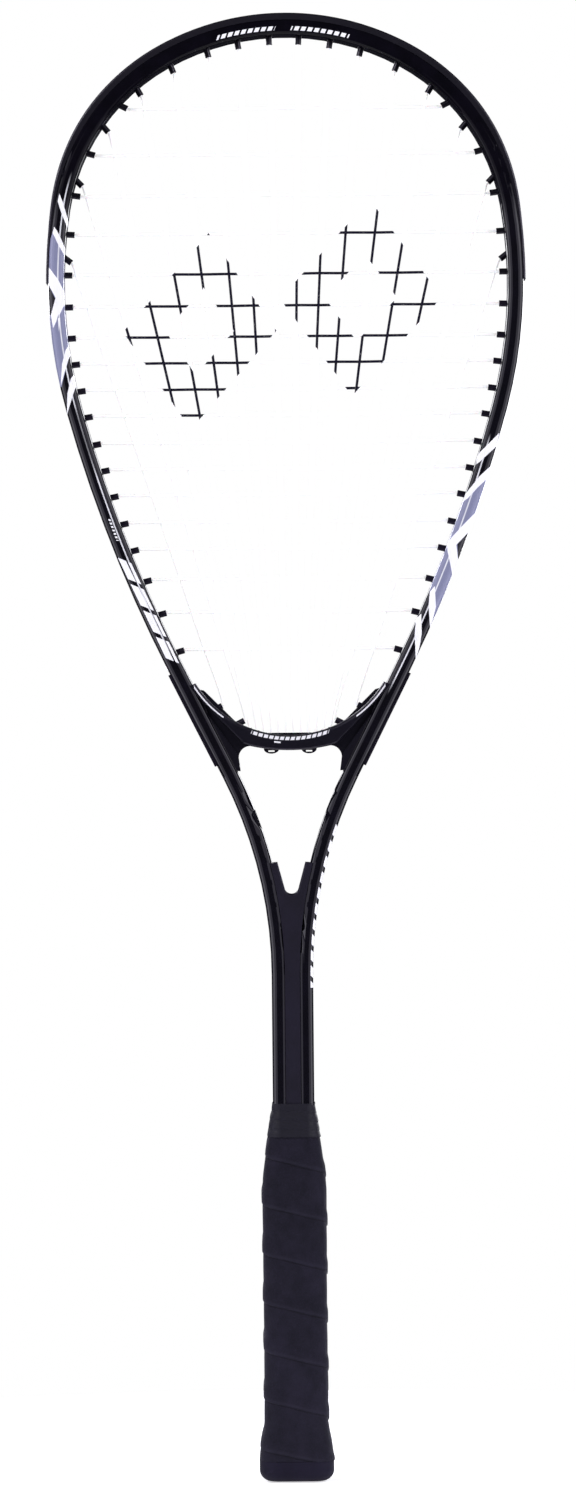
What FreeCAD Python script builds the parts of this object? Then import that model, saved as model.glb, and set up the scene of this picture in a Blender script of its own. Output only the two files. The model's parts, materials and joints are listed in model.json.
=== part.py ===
import FreeCAD, Part
import os
import math
import Sketcher
from FreeCAD import Vector, Placement, Rotation

# Squash racket.  Millimetres.  The origin is the centre of the flat end face of the
# butt cap, +Z runs up the racket's long axis to the tip of the head, X lies across the
# string bed and Y is normal to it.  The front face looks towards -Y, and "right" is +X.

os.makedirs("parts", exist_ok=True)
doc = FreeCAD.newDocument("squash_racket")

# ---------------------------------------------------------------- driving dimensions
DIMENSIONS = [
    # bent tube: section
    ("tube_width", 7.4), ("tube_depth", 19.0), ("tube_corner", 3.0), ("tube_wall", 0.8),
    ("slot_width", 6.5), ("slot_depth", 2.2), ("web_wall", 0.8),
    # bent tube: centreline, from the top of the head down one side
    ("head_top", 678.3),
    ("bend_one_radius", 115.84), ("bend_one_angle", 28.6651),
    ("bend_two_radius", 96.1075), ("bend_two_angle", 52.0108),
    ("bend_three_radius", 222.63), ("bend_three_angle", 24.6103),
    ("bend_four_radius", 659.455), ("bend_four_angle", 11.3199),
    ("leg_straight", 55.105), ("shoulder_radius", 209.626),
    ("tube_end", 15.0),
    # grommets
    ("hole_dia", 3.1), ("barrel_dia", 2.9), ("bore_dia", 1.45), ("peg_length", 3.7),
    ("strip_width", 6.3), ("strip_thick", 0.9),
    ("tail_thick", 1.0), ("tail_width", 13.0),
    # head bumper
    ("bumper_thick", 2.9), ("bumper_end_thick", 1.0), ("bumper_depth", 15.6),
    ("channel_width", 4.6), ("bumper_round", 0.8),
    # strings
    ("string_dia", 1.25), ("weave_gap", 1.33), ("knot_dia", 1.75), ("eyelet_bend", 0.75),
    # throat bridge
    ("hoop_radius", 51.5), ("hoop_centre_z", 399.4),
    ("bridge_tip_x", 43.9), ("bridge_tip_z", 372.47),
    ("under_mid_z", 340.8), ("under_end_x", 18.8), ("under_end_z", 342.9),
    ("under_radius", 85.2), ("under_slot", 2.4), ("foot_knee_x", 24.1), ("foot_knee_z", 337.6),
    ("throat_fillet", 5.3), ("foot_end_x", 23.3), ("foot_end_z", 331.2),
    ("bar_depth", 18.6), ("web_depth", 9.6), ("rib_depth", 14.4),
    ("bar_round", 1.8), ("under_round", 1.25), ("rivet_dia", 2.6), ("low_peg", 2.6),
    ("centre_hole_dia", 2.5), ("centre_barrel_dia", 2.4), ("centre_pitch", 3.46),
    # shaft wedge
    ("wedge_low_z", 96.0), ("wedge_top_z", 288.5), ("wedge_lap", 1.2),
    ("wedge_depth", 18.4), ("notch_radius", 3.3), ("notch_half_top", 6.5),
    ("notch_round", 0.9), ("notch_touch_x", 3.19), ("notch_touch_z", 276.05),
    # handle core (two pallets)
    ("core_low_z", 4.0), ("core_knee_z", 138.0), ("core_top_z", 158.0),
    ("core_width", 27.0), ("core_depth", 23.6), ("core_facet", 6.2),
    ("core_top_width", 22.0), ("core_top_depth", 21.4), ("core_top_facet", 4.2),
    ("screw_low_z", 60.0), ("screw_high_z", 120.0), ("screw_dia", 3.0),
    ("screw_head_dia", 5.6), ("screw_head_high", 1.7), ("screw_length", 22.8),
    # butt cap
    ("cap_width", 34.8), ("cap_depth", 31.2), ("cap_corner", 9.5), ("cap_lip_z", 9.5),
    ("cap_neck_width", 31.2), ("cap_neck_depth", 27.8), ("cap_neck_corner", 8.6),
    ("cap_top_width", 28.4), ("cap_top_depth", 25.0), ("cap_top_corner", 7.6),
    ("cap_top_z", 24.0), ("cap_round", 5.4),
    # grip wrap
    ("wrap_width", 30.3), ("wrap_depth", 27.0), ("wrap_corner", 8.2),
    ("wrap_flare_z", 26.0), ("wrap_knee_z", 140.0),
    ("wrap_mid_z", 158.5), ("wrap_mid_width", 25.0), ("wrap_mid_depth", 24.2),
    ("wrap_top_z", 170.0), ("wrap_top_width", 21.2), ("wrap_top_depth", 20.8),
    # finishing tape
    ("tape_low_z", 159.0), ("tape_top_z", 176.0),
]
sheet = doc.addObject("Spreadsheet::Sheet", "Dims")
size = {}


def fill_row(row, alias, text):
    sheet.set("A%d" % row, alias.replace("_", " "))
    sheet.set("B%d" % row, text)
    sheet.setAlias("B%d" % row, alias)


for row, (alias, value) in enumerate(DIMENSIONS, start=1):
    fill_row(row, alias, str(value))
doc.recompute()
for alias, value in DIMENSIONS:
    size[alias] = float(sheet.get(alias))


class Dim:
    """A number together with the spreadsheet expression that gives it."""

    def __init__(self, value, text):
        self.value = float(value)
        self.text = text

    @staticmethod
    def of(number):
        return number if isinstance(number, Dim) else Dim(number, repr(float(number)))

    def __add__(self, other):
        other = Dim.of(other)
        return Dim(self.value + other.value, "(%s + %s)" % (self.text, other.text))

    def __radd__(self, other):
        return Dim.of(other) + self

    def __sub__(self, other):
        other = Dim.of(other)
        return Dim(self.value - other.value, "(%s - %s)" % (self.text, other.text))

    def __rsub__(self, other):
        return Dim.of(other) - self

    def __mul__(self, other):
        other = Dim.of(other)
        return Dim(self.value * other.value, "(%s * %s)" % (self.text, other.text))

    def __rmul__(self, other):
        return self * other

    def __truediv__(self, other):
        other = Dim.of(other)
        return Dim(self.value / other.value, "(%s / %s)" % (self.text, other.text))

    def __neg__(self):
        return Dim(-self.value, "(0 - %s)" % self.text)


def dim(alias):
    return Dim(size[alias], "Dims." + alias)


# ------------------------------------------------------------------- sketch helpers
def add_object(kind, name):
    item = doc.addObject(kind, name)
    item.Label = name
    return item


def new_body(name):
    return add_object("PartDesign::Body", name)


def origin_plane(body, role):
    for item in body.Origin.OriginFeatures:
        if item.Role == role:
            return item
    raise RuntimeError(role)


def new_sketch(body, name, role, offset=None):
    sketch = body.newObject("Sketcher::SketchObject", name)
    sketch.AttachmentSupport = (origin_plane(body, role), [""])
    sketch.MapMode = "FlatFace"
    if offset is not None:
        offset = Dim.of(offset)
        sketch.AttachmentOffset = Placement(Vector(0, 0, offset.value), Rotation())
        sketch.setExpression("AttachmentOffset.Base.z", offset.text)
    return sketch


def bind(sketch, index, name, text):
    sketch.renameConstraint(index, name)
    sketch.setExpression("Constraints." + name, text)


def fix_point(sketch, edge, end, x, y, name):
    """Ties a sketch point to the spreadsheet, whatever the sign of its place."""
    for kind, place, axis in (("DistanceX", x, -2), ("DistanceY", y, -1)):
        label = name + kind[-1].lower()
        if abs(place.value) < 1e-9:
            sketch.addConstraint(Sketcher.Constraint("PointOnObject", edge, end, axis))
        elif place.value > 0:
            index = sketch.addConstraint(
                Sketcher.Constraint(kind, -1, 1, edge, end, place.value))
            bind(sketch, index, label, place.text)
        else:
            index = sketch.addConstraint(
                Sketcher.Constraint(kind, edge, end, -1, 1, -place.value))
            bind(sketch, index, label, (-place).text)


def add_arc(sketch, start, end, radius, bulge):
    """Minor arc between two points; gives its number and its start and end vertex."""
    chord = end - start
    half = chord.Length / 2
    left = Vector(-chord.y, chord.x, 0).normalize()
    rise = math.sqrt(max(radius * radius - half * half, 0.0))
    centre = (start + end) * 0.5 - left * (bulge * rise)
    first, last = (start, end) if bulge < 0 else (end, start)
    angle_one = math.atan2(first.y - centre.y, first.x - centre.x)
    angle_two = math.atan2(last.y - centre.y, last.x - centre.x)
    while angle_one < -1e-6:
        angle_one += 2 * math.pi
    while angle_two < angle_one:
        angle_two += 2 * math.pi
    circle = Part.Circle(centre, Vector(0, 0, 1), radius)
    edge = sketch.addGeometry(Part.ArcOfCircle(circle, angle_one, angle_two), False)
    return (edge, 1, 2) if bulge < 0 else (edge, 2, 1)


def outline(sketch, vertices, arcs=None, closed=True):
    """Outline through the vertices.  arcs: edge number -> (radius, bulge), bulge +1 is
    to the left of the way from one vertex to the next, -1 to the right."""
    arcs = arcs or {}
    count = len(vertices)
    places = [(Dim.of(x), Dim.of(y)) for x, y in vertices]
    points = [Vector(x.value, y.value, 0) for x, y in places]
    edges = []
    for k in range(count if closed else count - 1):
        start, end = points[k], points[(k + 1) % count]
        if k in arcs:
            radius, bulge = Dim.of(arcs[k][0]), arcs[k][1]
            edges.append(add_arc(sketch, start, end, radius.value, bulge))
            index = sketch.addConstraint(
                Sketcher.Constraint("Radius", edges[-1][0], radius.value))
            bind(sketch, index, "radius%d" % k, radius.text)
        else:
            edges.append((sketch.addGeometry(Part.LineSegment(start, end), False), 1, 2))
    for k in range(count if closed else count - 2):
        edge, _, end = edges[k]
        following, start, _ = edges[(k + 1) % count]
        sketch.addConstraint(Sketcher.Constraint("Coincident", edge, end, following, start))
    for k, (edge, start, _) in enumerate(edges):
        fix_point(sketch, edge, start, places[k][0], places[k][1], "point%d" % k)
    if not closed:
        edge, _, end = edges[-1]
        fix_point(sketch, edge, end, places[-1][0], places[-1][1], "pointend")


def both_sides(right):
    """Right-hand points, then their mirror images in reverse order."""
    return right + [(-x, y) for x, y in reversed(right)]


def from_left(right):
    """The same loop as both_sides, starting from the last of the left-hand points."""
    loop_points = both_sides(right)
    return loop_points[-1:] + loop_points[:-1]


def round_rect(sketch, centre_x, width, depth, corner):
    """Rectangle centred on y = 0 with four equal rounded corners."""
    centre_x, width, depth, corner = [Dim.of(n) for n in (centre_x, width, depth, corner)]
    x0, x1 = centre_x - width / 2, centre_x + width / 2
    y0, y1 = 0 - depth / 2, 0 + depth / 2
    outline(sketch,
            [(x0 + corner, y0), (x1 - corner, y0), (x1, y0 + corner), (x1, y1 - corner),
             (x1 - corner, y1), (x0 + corner, y1), (x0, y1 - corner), (x0, y0 + corner)],
            {k: (corner, -1) for k in (1, 3, 5, 7)})


def octagon(sketch, width, depth, facet):
    x, y = width / 2, depth / 2
    outline(sketch, [(facet - x, -y), (x - facet, -y), (x, facet - y), (x, y - facet),
                     (x - facet, y), (facet - x, y), (-x, y - facet), (-x, facet - y)])


def pad(body, sketch, name, length, midplane=False):
    length = Dim.of(length)
    item = body.newObject("PartDesign::Pad", name)
    item.Profile = sketch
    item.Length = length.value
    item.setExpression("Length", length.text)
    item.Midplane = midplane
    return item


def loft(body, sketches, name):
    item = body.newObject("PartDesign::AdditiveLoft", name)
    item.Profile = sketches[0]
    item.Sections = sketches[1:]
    item.Ruled = True


def rounded_loft(name, stations):
    """Body lofted through rounded rectangles.  stations: (z, width, depth, corner)."""
    body = new_body(name + "_blank")
    sketches = []
    for k, (z, width, depth, corner) in enumerate(stations):
        sketch = new_sketch(body, "%s_section_%d" % (name, k), "XY_Plane", z)
        round_rect(sketch, 0, width, depth, corner)
        sketches.append(sketch)
    loft(body, sketches, name + "_loft")
    doc.recompute()
    return body


def face_edge(edge, y):
    """True for an edge that lies in the front or back face, at -y or +y."""
    return edge.BoundBox.YLength < 1e-4 and abs(abs(edge.BoundBox.YMin) - y) < 1e-4


def soften(body, base, chosen, name, alias):
    """Fillets the edges of base for which chosen(edge) is true."""
    item = body.newObject("PartDesign::Fillet", name)
    names = ["Edge%d" % (k + 1) for k, edge in enumerate(base.Shape.Edges) if chosen(edge)]
    item.Base = (base, names)
    item.Radius = size[alias]
    item.setExpression("Radius", "Dims." + alias)
    doc.recompute()
    assert "Invalid" not in item.State and item.Shape.isValid(), name
    return item


# --------------------------------------------------------------------- solid helpers
def feature(name, shape):
    item = add_object("Part::Feature", name)
    item.Shape = shape
    item.Placement = Placement()
    return item


def boolean(kind, name, base, tool):
    item = add_object("Part::" + kind, name)
    item.Base = base
    item.Tool = tool
    return item


def cylinder(start, end, dia):
    way = end - start
    return Part.makeCylinder(dia / 2.0, way.Length, start, way)


def fuse_all(shapes):
    return shapes[0].multiFuse(shapes[1:])


def mirror(shape):
    return shape.mirror(Vector(0, 0, 0), Vector(1, 0, 0))


def flip(point):
    return Vector(-point.x, point.y, point.z)


def extrude_face(wire, half):
    """Solid from a wire in the XZ plane, y from -half to half."""
    face = Part.Face(wire)
    face.translate(Vector(0, -half, 0))
    return face.extrude(Vector(0, 2 * half, 0))


def unit(vector):
    return Vector(vector).normalize() if vector.Length > 0 else vector


def solve(function, low, high):
    """Root between low and high, by halving."""
    at_low = function(low)
    for _ in range(60):
        middle = (low + high) / 2
        at_middle = function(middle)
        if (at_middle > 0) == (at_low > 0):
            low, at_low = middle, at_middle
        else:
            high = middle
    return (low + high) / 2


# --------------------------------------------------------- centreline of the bent tube
# A station is an arc length down the centreline from the top of the head.  An offset is
# a distance from the centreline, positive towards the outside of the racket.
HALF_WIDTH = size["tube_width"] / 2.0
HEAD_BENDS = ["bend_one", "bend_two", "bend_three", "bend_four"]


class Segment:
    """Arc (turn +1 or -1, x and z its centre) or straight (turn 0, x and z its start).
    The heading at its start is measured clockwise from +X, seen from the front."""

    def __init__(self, start, length, radius, turn, x, z, heading):
        self.start, self.end = start, start + length
        self.radius, self.turn = radius, turn
        self.x, self.z, self.heading = x, z, heading


def build_chain():
    """Segments of the right half, from the top of the head to the end of the leg."""
    chain = []
    x, z, heading, station = 0.0, size["head_top"], 0.0, 0.0
    for bend in HEAD_BENDS:
        radius, angle = size[bend + "_radius"], math.radians(size[bend + "_angle"])
        centre_x = x - radius * math.sin(heading)
        centre_z = z - radius * math.cos(heading)
        chain.append(Segment(station, radius * angle, radius, 1, centre_x, centre_z, heading))
        station += radius * angle
        heading += angle
        x = centre_x + radius * math.sin(heading)
        z = centre_z + radius * math.cos(heading)
    length = size["leg_straight"]
    chain.append(Segment(station, length, 0, 0, x, z, heading))
    station += length
    x, z = x + length * math.cos(heading), z - length * math.sin(heading)
    radius = size["shoulder_radius"]
    angle = heading - math.pi / 2
    centre_x, centre_z = x + radius * math.sin(heading), z + radius * math.cos(heading)
    chain.append(Segment(station, radius * angle, radius, -1, centre_x, centre_z, heading))
    station += radius * angle
    heading = math.pi / 2
    x, z = centre_x - radius * math.sin(heading), centre_z - radius * math.cos(heading)
    chain.append(Segment(station, z - size["tube_end"], 0, 0, x, z, heading))
    return chain


CHAIN = build_chain()
LEG, SHOULDER, SHAFT = CHAIN[4:]
LEG_NORMAL = Vector(math.sin(LEG.heading), 0, math.cos(LEG.heading))


def segment_at(station):
    for segment in CHAIN:
        if station <= segment.end + 1e-9:
            return segment
    return CHAIN[-1]


def heading_at(station):
    segment = segment_at(station)
    if segment.turn:
        return segment.heading + segment.turn * (station - segment.start) / segment.radius
    return segment.heading


def at(station, offset=0.0, side=1):
    """Point at a station and offset of the right (side 1) or left (-1) half."""
    segment = segment_at(station)
    heading = heading_at(station)
    if segment.turn:
        reach = segment.radius + segment.turn * offset
        x = segment.x + segment.turn * reach * math.sin(heading)
        z = segment.z + segment.turn * reach * math.cos(heading)
    else:
        run = station - segment.start
        x = segment.x + run * math.cos(heading) + offset * math.sin(heading)
        z = segment.z - run * math.sin(heading) + offset * math.cos(heading)
    return Vector(side * x, 0, z)


def outward(station):
    heading = heading_at(station)
    return Vector(math.sin(heading), 0, math.cos(heading))


def tangent(station):
    heading = heading_at(station)
    return Vector(math.cos(heading), 0, -math.sin(heading))


def offset_edges(first, last, offset, side=1):
    """Exact arcs and lines of the offset curve between two stations."""
    edges = []
    for segment in CHAIN:
        start, end = max(first, segment.start), min(last, segment.end)
        if end - start < 1e-6:
            continue
        start_point, end_point = at(start, offset, side), at(end, offset, side)
        if segment.turn:
            middle = at((start + end) / 2, offset, side)
            edges.append(Part.Arc(start_point, middle, end_point).toShape())
        else:
            edges.append(Part.makeLine(start_point, end_point))
    return edges


def band(first, last, low, high, half, side=1):
    """Solid that follows the tube between offsets low and high, y from -half to half."""
    inner = offset_edges(first, last, low, side)
    outer = offset_edges(first, last, high, side)
    caps = [Part.makeLine(at(end, low, side), at(end, high, side)) for end in (first, last)]
    return extrude_face(Part.Wire(Part.__sortEdges__(inner + outer + caps)), half)


# ----------------------------------------------------------------- string positions
# heights of the crosses, from the top
CROSS_Z = [641.4, 619.7, 600.5, 582.6, 563.7, 548.8, 534.3, 522.1, 509.7,
           497.6, 484.8, 472.5, 460.3, 447.6, 435.2, 420.9, 405.5, 388.0]
# mains of the right half, numbered from the middle: where they meet the tube's inner
# face, by x for the first six and by z for the two outermost
MAIN_TOP_X = [6.97, 21.7, 36.1, 53.0, 68.8, 84.8]
MAIN_TOP_Z = [608.0, 571.8]
INNER_MAINS = len(MAIN_TOP_X)
MAIN_LOW_X = [size["centre_pitch"] * (k + 0.5) for k in range(INNER_MAINS)]
MAIN_LOW_SIGHT_Z = 350.0                       # the six inner holes aim at this height
MAIN_LOW_OUTER = [(23.7, 355.0), (34.0, 361.4)]    # (x, z) the two outermost aim at

GROOVE_FLOOR = HALF_WIDTH - size["slot_depth"]     # offsets
STRING_SEAT = GROOVE_FLOOR + size["strip_thick"]
STRING_RUN = STRING_SEAT + size["string_dia"] / 2 + 0.03
STRING_CORNER = 0.85           # a string bends this far past the tip of its peg


class Hole:
    """String hole of the right half; its peg runs from root along direction."""

    def __init__(self, station, root, direction, peg):
        self.station = station
        self.direction = direction
        self.tip = root + direction * peg
        self.corner = self.tip + direction * STRING_CORNER

    def axis(self, offset):
        """Point on the hole's axis at an offset from the centreline."""
        slope = -(self.direction.dot(outward(self.station)))
        face = at(self.station, -HALF_WIDTH)
        return face - self.direction * ((HALF_WIDTH + offset) / slope)


def frame_hole(station, direction):
    return Hole(station, at(station, -HALF_WIDTH), unit(direction), size["peg_length"])


def cross_hole(height):
    """Hole that leans from square to the tube towards the cross, its tip at height."""
    def hole_at(station):
        return frame_hole(station, outward(station) * -0.6 + Vector(-1, 0, 0) * 0.4)
    return hole_at(solve(lambda t: hole_at(t).tip.z - height, 40.0, LEG.start))


def main_hole(k):
    """Hole that leans from square to the tube towards the main's low end."""
    if k < INNER_MAINS:
        low = Vector(MAIN_LOW_X[k], 0, MAIN_LOW_SIGHT_Z)
        station = solve(lambda t: at(t, -HALF_WIDTH).x - MAIN_TOP_X[k], 0.5, 150.0)
        share = 0.35
    else:
        low_x, low_z = MAIN_LOW_OUTER[k - INNER_MAINS]
        low = Vector(low_x, 0, low_z)
        top_z = MAIN_TOP_Z[k - INNER_MAINS]
        station = solve(lambda t: at(t, -HALF_WIDTH).z - top_z, 90.0, 220.0)
        share = 0.5
    sight = unit(low - at(station, -HALF_WIDTH))
    return frame_hole(station, outward(station) * -(1 - share) + sight * share)


def hoop_z(x):
    """Height of the bridge's upper edge."""
    return size["hoop_centre_z"] - math.sqrt(size["hoop_radius"] ** 2 - x * x)


def low_hole(x):
    """Hole square to the straight leg, its root on the bridge's upper edge at x."""
    root = Vector(x, 0, hoop_z(x))
    run = solve(lambda t: (at(LEG.start + t) - root).cross(LEG_NORMAL).y, 1.0, 54.0)
    return Hole(LEG.start + run, root, -LEG_NORMAL, size["low_peg"])


CROSS_HOLES = [cross_hole(z) for z in CROSS_Z]
MAIN_HOLES = [main_hole(k) for k in range(INNER_MAINS + len(MAIN_TOP_Z))]
# the two outer mains of each side leave the bridge, cross the leg and turn in its groove
LOW_HOLES = [low_hole(x) for x, _ in MAIN_LOW_OUTER]
RIVET_STATION = (LOW_HOLES[0].station + LOW_HOLES[1].station) / 2


def head_angle(station):
    """Degrees from +Z about a point on the axis inside the head."""
    point = at(station)
    return math.degrees(math.atan2(point.x, point.z - 551.3))


BUMPER_END = solve(lambda t: head_angle(t) - 85.5, 100.0, 240.0)
STRIP_START = BUMPER_END + 0.5
STRIP_END = LEG.start + 48.8

# ------------------------------------------------------------------- bent frame tube
# The places where the tube's bends meet, on the right half, go in the sheet too.
JOINTS = []
row = len(DIMENSIONS) + 2
for letter, segment in zip("abcdefg", CHAIN):
    point = at(segment.end)
    pair = []
    for axis, value in (("x", point.x), ("z", point.z)):
        alias = "joint_%s_%s" % (letter, axis)
        fill_row(row, alias, "%.9f" % value)
        size[alias] = round(value, 9)
        pair.append(dim(alias))
        row += 1
    JOINTS.append(tuple(pair))
doc.recompute()

tube = new_body("tube_blank")
tube_path = new_sketch(tube, "tube_path", "XZ_Plane")
# Walking up the right leg, over the head and down the left leg, every bend of the head
# bulges to the right of the way, the two shoulder bends to the left.
path_arcs = {1: (dim("shoulder_radius"), 1), 11: (dim("shoulder_radius"), 1)}
for k, bend in enumerate(HEAD_BENDS):
    for edge in {6 - k, 6 + k}:
        path_arcs[edge] = (dim(bend + "_radius"), -1)
outline(tube_path, both_sides(JOINTS[::-1]), path_arcs, closed=False)

leg_x = JOINTS[-1][0]
outer_x = leg_x + dim("tube_width") / 2
inner_x = leg_x - dim("tube_width") / 2
floor_x = outer_x - dim("slot_depth")

tube_section = new_sketch(tube, "tube_section", "XY_Plane", dim("tube_end"))
round_rect(tube_section, leg_x, dim("tube_width"), dim("tube_depth"), dim("tube_corner"))
doc.recompute()


def pipe(sketch, name, kind):
    """Sweeps a sketch along the tube's path."""
    item = tube.newObject("PartDesign::" + kind, name)
    item.Profile = sketch
    item.Spine = (tube_path, [])
    item.Mode = "Binormal"
    item.Binormal = Vector(0, 1, 0)
    doc.recompute()
    return item


skin = pipe(tube_section, "tube_skin", "AdditivePipe")

# string groove along the outer side of the section
tube_slot = new_sketch(tube, "tube_slot", "XY_Plane", dim("tube_end"))
half_slot = dim("slot_width") / 2
outline(tube_slot, [(floor_x, -half_slot), (outer_x + 1.0, -half_slot),
                    (outer_x + 1.0, half_slot), (floor_x, half_slot)])
groove = pipe(tube_slot, "tube_groove", "SubtractivePipe")

# hollow of the extrusion, with a lobe on each side of the groove
tube_void = new_sketch(tube, "tube_void", "XY_Plane", dim("tube_end"))
wall, lobe = dim("tube_wall"), dim("slot_width") / 2 + dim("web_wall")
void_in, void_out, void_web = inner_x + wall, outer_x - wall, floor_x - dim("web_wall")
void_y = dim("tube_depth") / 2 - wall
corner = dim("tube_corner") - wall
outline(tube_void,
        [(void_in + corner, -void_y), (void_out - corner, -void_y),
         (void_out, corner - void_y), (void_out, -lobe), (void_web, -lobe),
         (void_web, lobe), (void_out, lobe), (void_out, void_y - corner),
         (void_out - corner, void_y), (void_in + corner, void_y),
         (void_in, void_y - corner), (void_in, corner - void_y)],
        {k: (corner, -1) for k in (1, 7, 9, 11)})
hollow = pipe(tube_void, "tube_hollow", "SubtractivePipe")
assert hollow.Shape.Volume < groove.Shape.Volume < skin.Shape.Volume, "tube pipes"

tube_outer = feature("tube_outer", skin.Shape.copy())      # outside of the tube, filled
tube_grooved = feature("tube_grooved", groove.Shape.copy())


def barrels(holes, dia, start_offset, past=0.0):
    """Cylinders along the holes, from an offset to a distance past the peg's tip."""
    return [cylinder(hole.axis(start_offset), hole.tip + hole.direction * past, dia)
            for hole in holes]


PIN_Z = 130.0                  # height of the wedge rivet
drills = barrels(CROSS_HOLES + MAIN_HOLES, size["hole_dia"], HALF_WIDTH)
for station, dia in ([(hole.station, size["hole_dia"]) for hole in LOW_HOLES]
                     + [(RIVET_STATION, size["rivet_dia"])]):
    drills.append(cylinder(at(station, HALF_WIDTH), at(station, -HALF_WIDTH - 1), dia))
drills.append(cylinder(Vector(0, 0, PIN_Z), Vector(SHAFT.x + HALF_WIDTH, 0, PIN_Z),
                       size["rivet_dia"]))
drills = drills + [mirror(drill) for drill in drills]
drill_set = feature("drill_set", Part.makeCompound(drills))
frame_tube = boolean("Cut", "frame_tube", tube, drill_set)
doc.recompute()

# -------------------------------------------------------------------- head bumper
RIM_STEPS = 18                 # rim points on each side of the head's tip
BARREL_ROOT = GROOVE_FLOOR + 0.4   # offsets where barrels start and bores start
BORE_MOUTH = STRING_SEAT + 3.0


def bumper_thickness(station):
    """Full at the top of the head, easing to the end thickness from 42 to 80 degrees."""
    share = min(max((80.0 - head_angle(station)) / 38.0, 0.0), 1.0)
    share = share * share * (3 - 2 * share)
    thin = size["bumper_end_thick"]
    return thin + (size["bumper_thick"] - thin) * share


def build_bumper():
    rim = []
    for k in range(-RIM_STEPS, RIM_STEPS + 1):
        station = abs(k) / float(RIM_STEPS) * BUMPER_END
        offset = HALF_WIDTH + bumper_thickness(station)
        rim.append(at(station, offset, 1 if k >= 0 else -1))
    rim_curve = Part.BSplineCurve()
    rim_curve.interpolate(Points=rim)
    edges = [rim_curve.toShape()]
    edges += offset_edges(0, BUMPER_END, GROOVE_FLOOR, 1)
    edges += offset_edges(0, BUMPER_END, GROOVE_FLOOR, -1)
    edges += [Part.makeLine(at(BUMPER_END, GROOVE_FLOOR, 1), rim[-1]),
              Part.makeLine(at(BUMPER_END, GROOVE_FLOOR, -1), rim[0])]
    half = size["bumper_depth"] / 2
    blank = extrude_face(Part.Wire(Part.__sortEdges__(edges)), half)
    rims = [e for e in blank.Edges if e.Curve.TypeId == "Part::GeomBSplineCurve"
            and abs(abs(e.BoundBox.YMin) - half) < 1e-6 and e.BoundBox.YLength < 1e-3]
    blank = blank.makeFillet(size["bumper_round"], rims)
    channel = [band(0, BUMPER_END + 3, STRING_SEAT, HALF_WIDTH + 6,
                    size["channel_width"] / 2, side) for side in (1, -1)]
    # the bumper's rib fills the groove down to its floor and carries the barrels
    holes = [hole for hole in CROSS_HOLES if hole.station < BUMPER_END] + MAIN_HOLES
    bars = barrels(holes, size["barrel_dia"], BARREL_ROOT)
    bores = barrels(holes, size["bore_dia"], BORE_MOUTH, 1.0)
    bars = bars + [mirror(bar) for bar in bars]
    bores = bores + [mirror(bore) for bore in bores]
    solid = blank.cut(tube_grooved.Shape).cut(channel)
    return fuse_all([solid] + bars).cut(bores)


head_bumper = feature("head_bumper", build_bumper())


# ------------------------------------------------------------- side grommet strips
def build_side_strip():
    """Right-hand strip: a liner in the groove, with a wider tail on the straight leg."""
    half = size["strip_width"] / 2
    tail_start = LEG.start + 1.0
    liner = band(STRIP_START, STRIP_END, GROOVE_FLOOR, STRING_SEAT, half)
    tail = band(tail_start, STRIP_END, HALF_WIDTH, HALF_WIDTH + size["tail_thick"],
                size["tail_width"] / 2)
    neck = band(tail_start, STRIP_END, STRING_SEAT, HALF_WIDTH, half)
    channel = band(LEG.start - 3.0, STRIP_END - 4.0, STRING_SEAT, HALF_WIDTH + 6,
                   size["channel_width"] / 2)
    holes = [hole for hole in CROSS_HOLES if hole.station > BUMPER_END] + LOW_HOLES
    tubes = barrels(holes, size["barrel_dia"], BARREL_ROOT)
    bores = barrels(holes, size["bore_dia"], BORE_MOUTH, 1.0)
    rivet_seat = cylinder(at(RIVET_STATION, GROOVE_FLOOR),
                          at(RIVET_STATION, GROOVE_FLOOR + 8), 4.6)
    solid = fuse_all([tail, neck]).cut(channel)
    return fuse_all([liner, solid] + tubes).cut(bores + [rivet_seat])


side_strip = build_side_strip()
grommet_strip_right = feature("grommet_strip_right", side_strip)
grommet_strip_left = feature("grommet_strip_left", mirror(side_strip))
doc.recompute()

# -------------------------------------------------------------------- throat bridge
END_Z = 371.0                  # height of the bar's ends against the legs
LEG_OFFSET = -1.3              # the bridge reaches this offset inside the legs
UNDER_CENTRE_Z = size["under_mid_z"] + size["under_radius"]


def leg_side_x(z):
    """X of the bridge's end line along the right leg, at height z."""
    run = (LEG.z - z) / math.sin(LEG.heading)
    return LEG.x + run * math.cos(LEG.heading) + LEG_OFFSET / LEG_NORMAL.x


end_top = (leg_side_x(END_Z), END_Z)
end_low = (leg_side_x(size["foot_end_z"] + 0.3), dim("foot_end_z") + 0.3)
under_end = (dim("under_end_x"), dim("under_end_z"))
foot_knee = (dim("foot_knee_x"), dim("foot_knee_z"))
foot_end = (dim("foot_end_x"), dim("foot_end_z"))

bridge = new_body("bridge_blank")
bridge_bar = new_sketch(bridge, "bridge_bar", "XZ_Plane")
outline(bridge_bar,
        both_sides([(dim("bridge_tip_x"), dim("bridge_tip_z")), end_top,
                    (45.0, 368.0), (21.9, 344.1), under_end]),
        {4: (dim("under_radius"), 1), 9: (dim("hoop_radius"), -1)})
bar_pad = pad(bridge, bridge_bar, "bar_pad", dim("bar_depth"), midplane=True)
doc.recompute()
half_bar = size["bar_depth"] / 2


def is_hoop_edge(edge):
    return face_edge(edge, half_bar) and edge.Length > 90.0


def is_under_edge(edge):
    return (face_edge(edge, half_bar) and edge.CenterOfMass.z < 367.0
            and 3.0 < edge.Length < 60.0 and edge.BoundBox.ZMin < 352.0
            and not (edge.BoundBox.ZMin > 343.0 and abs(edge.CenterOfMass.x) < 1e-3))


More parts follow.
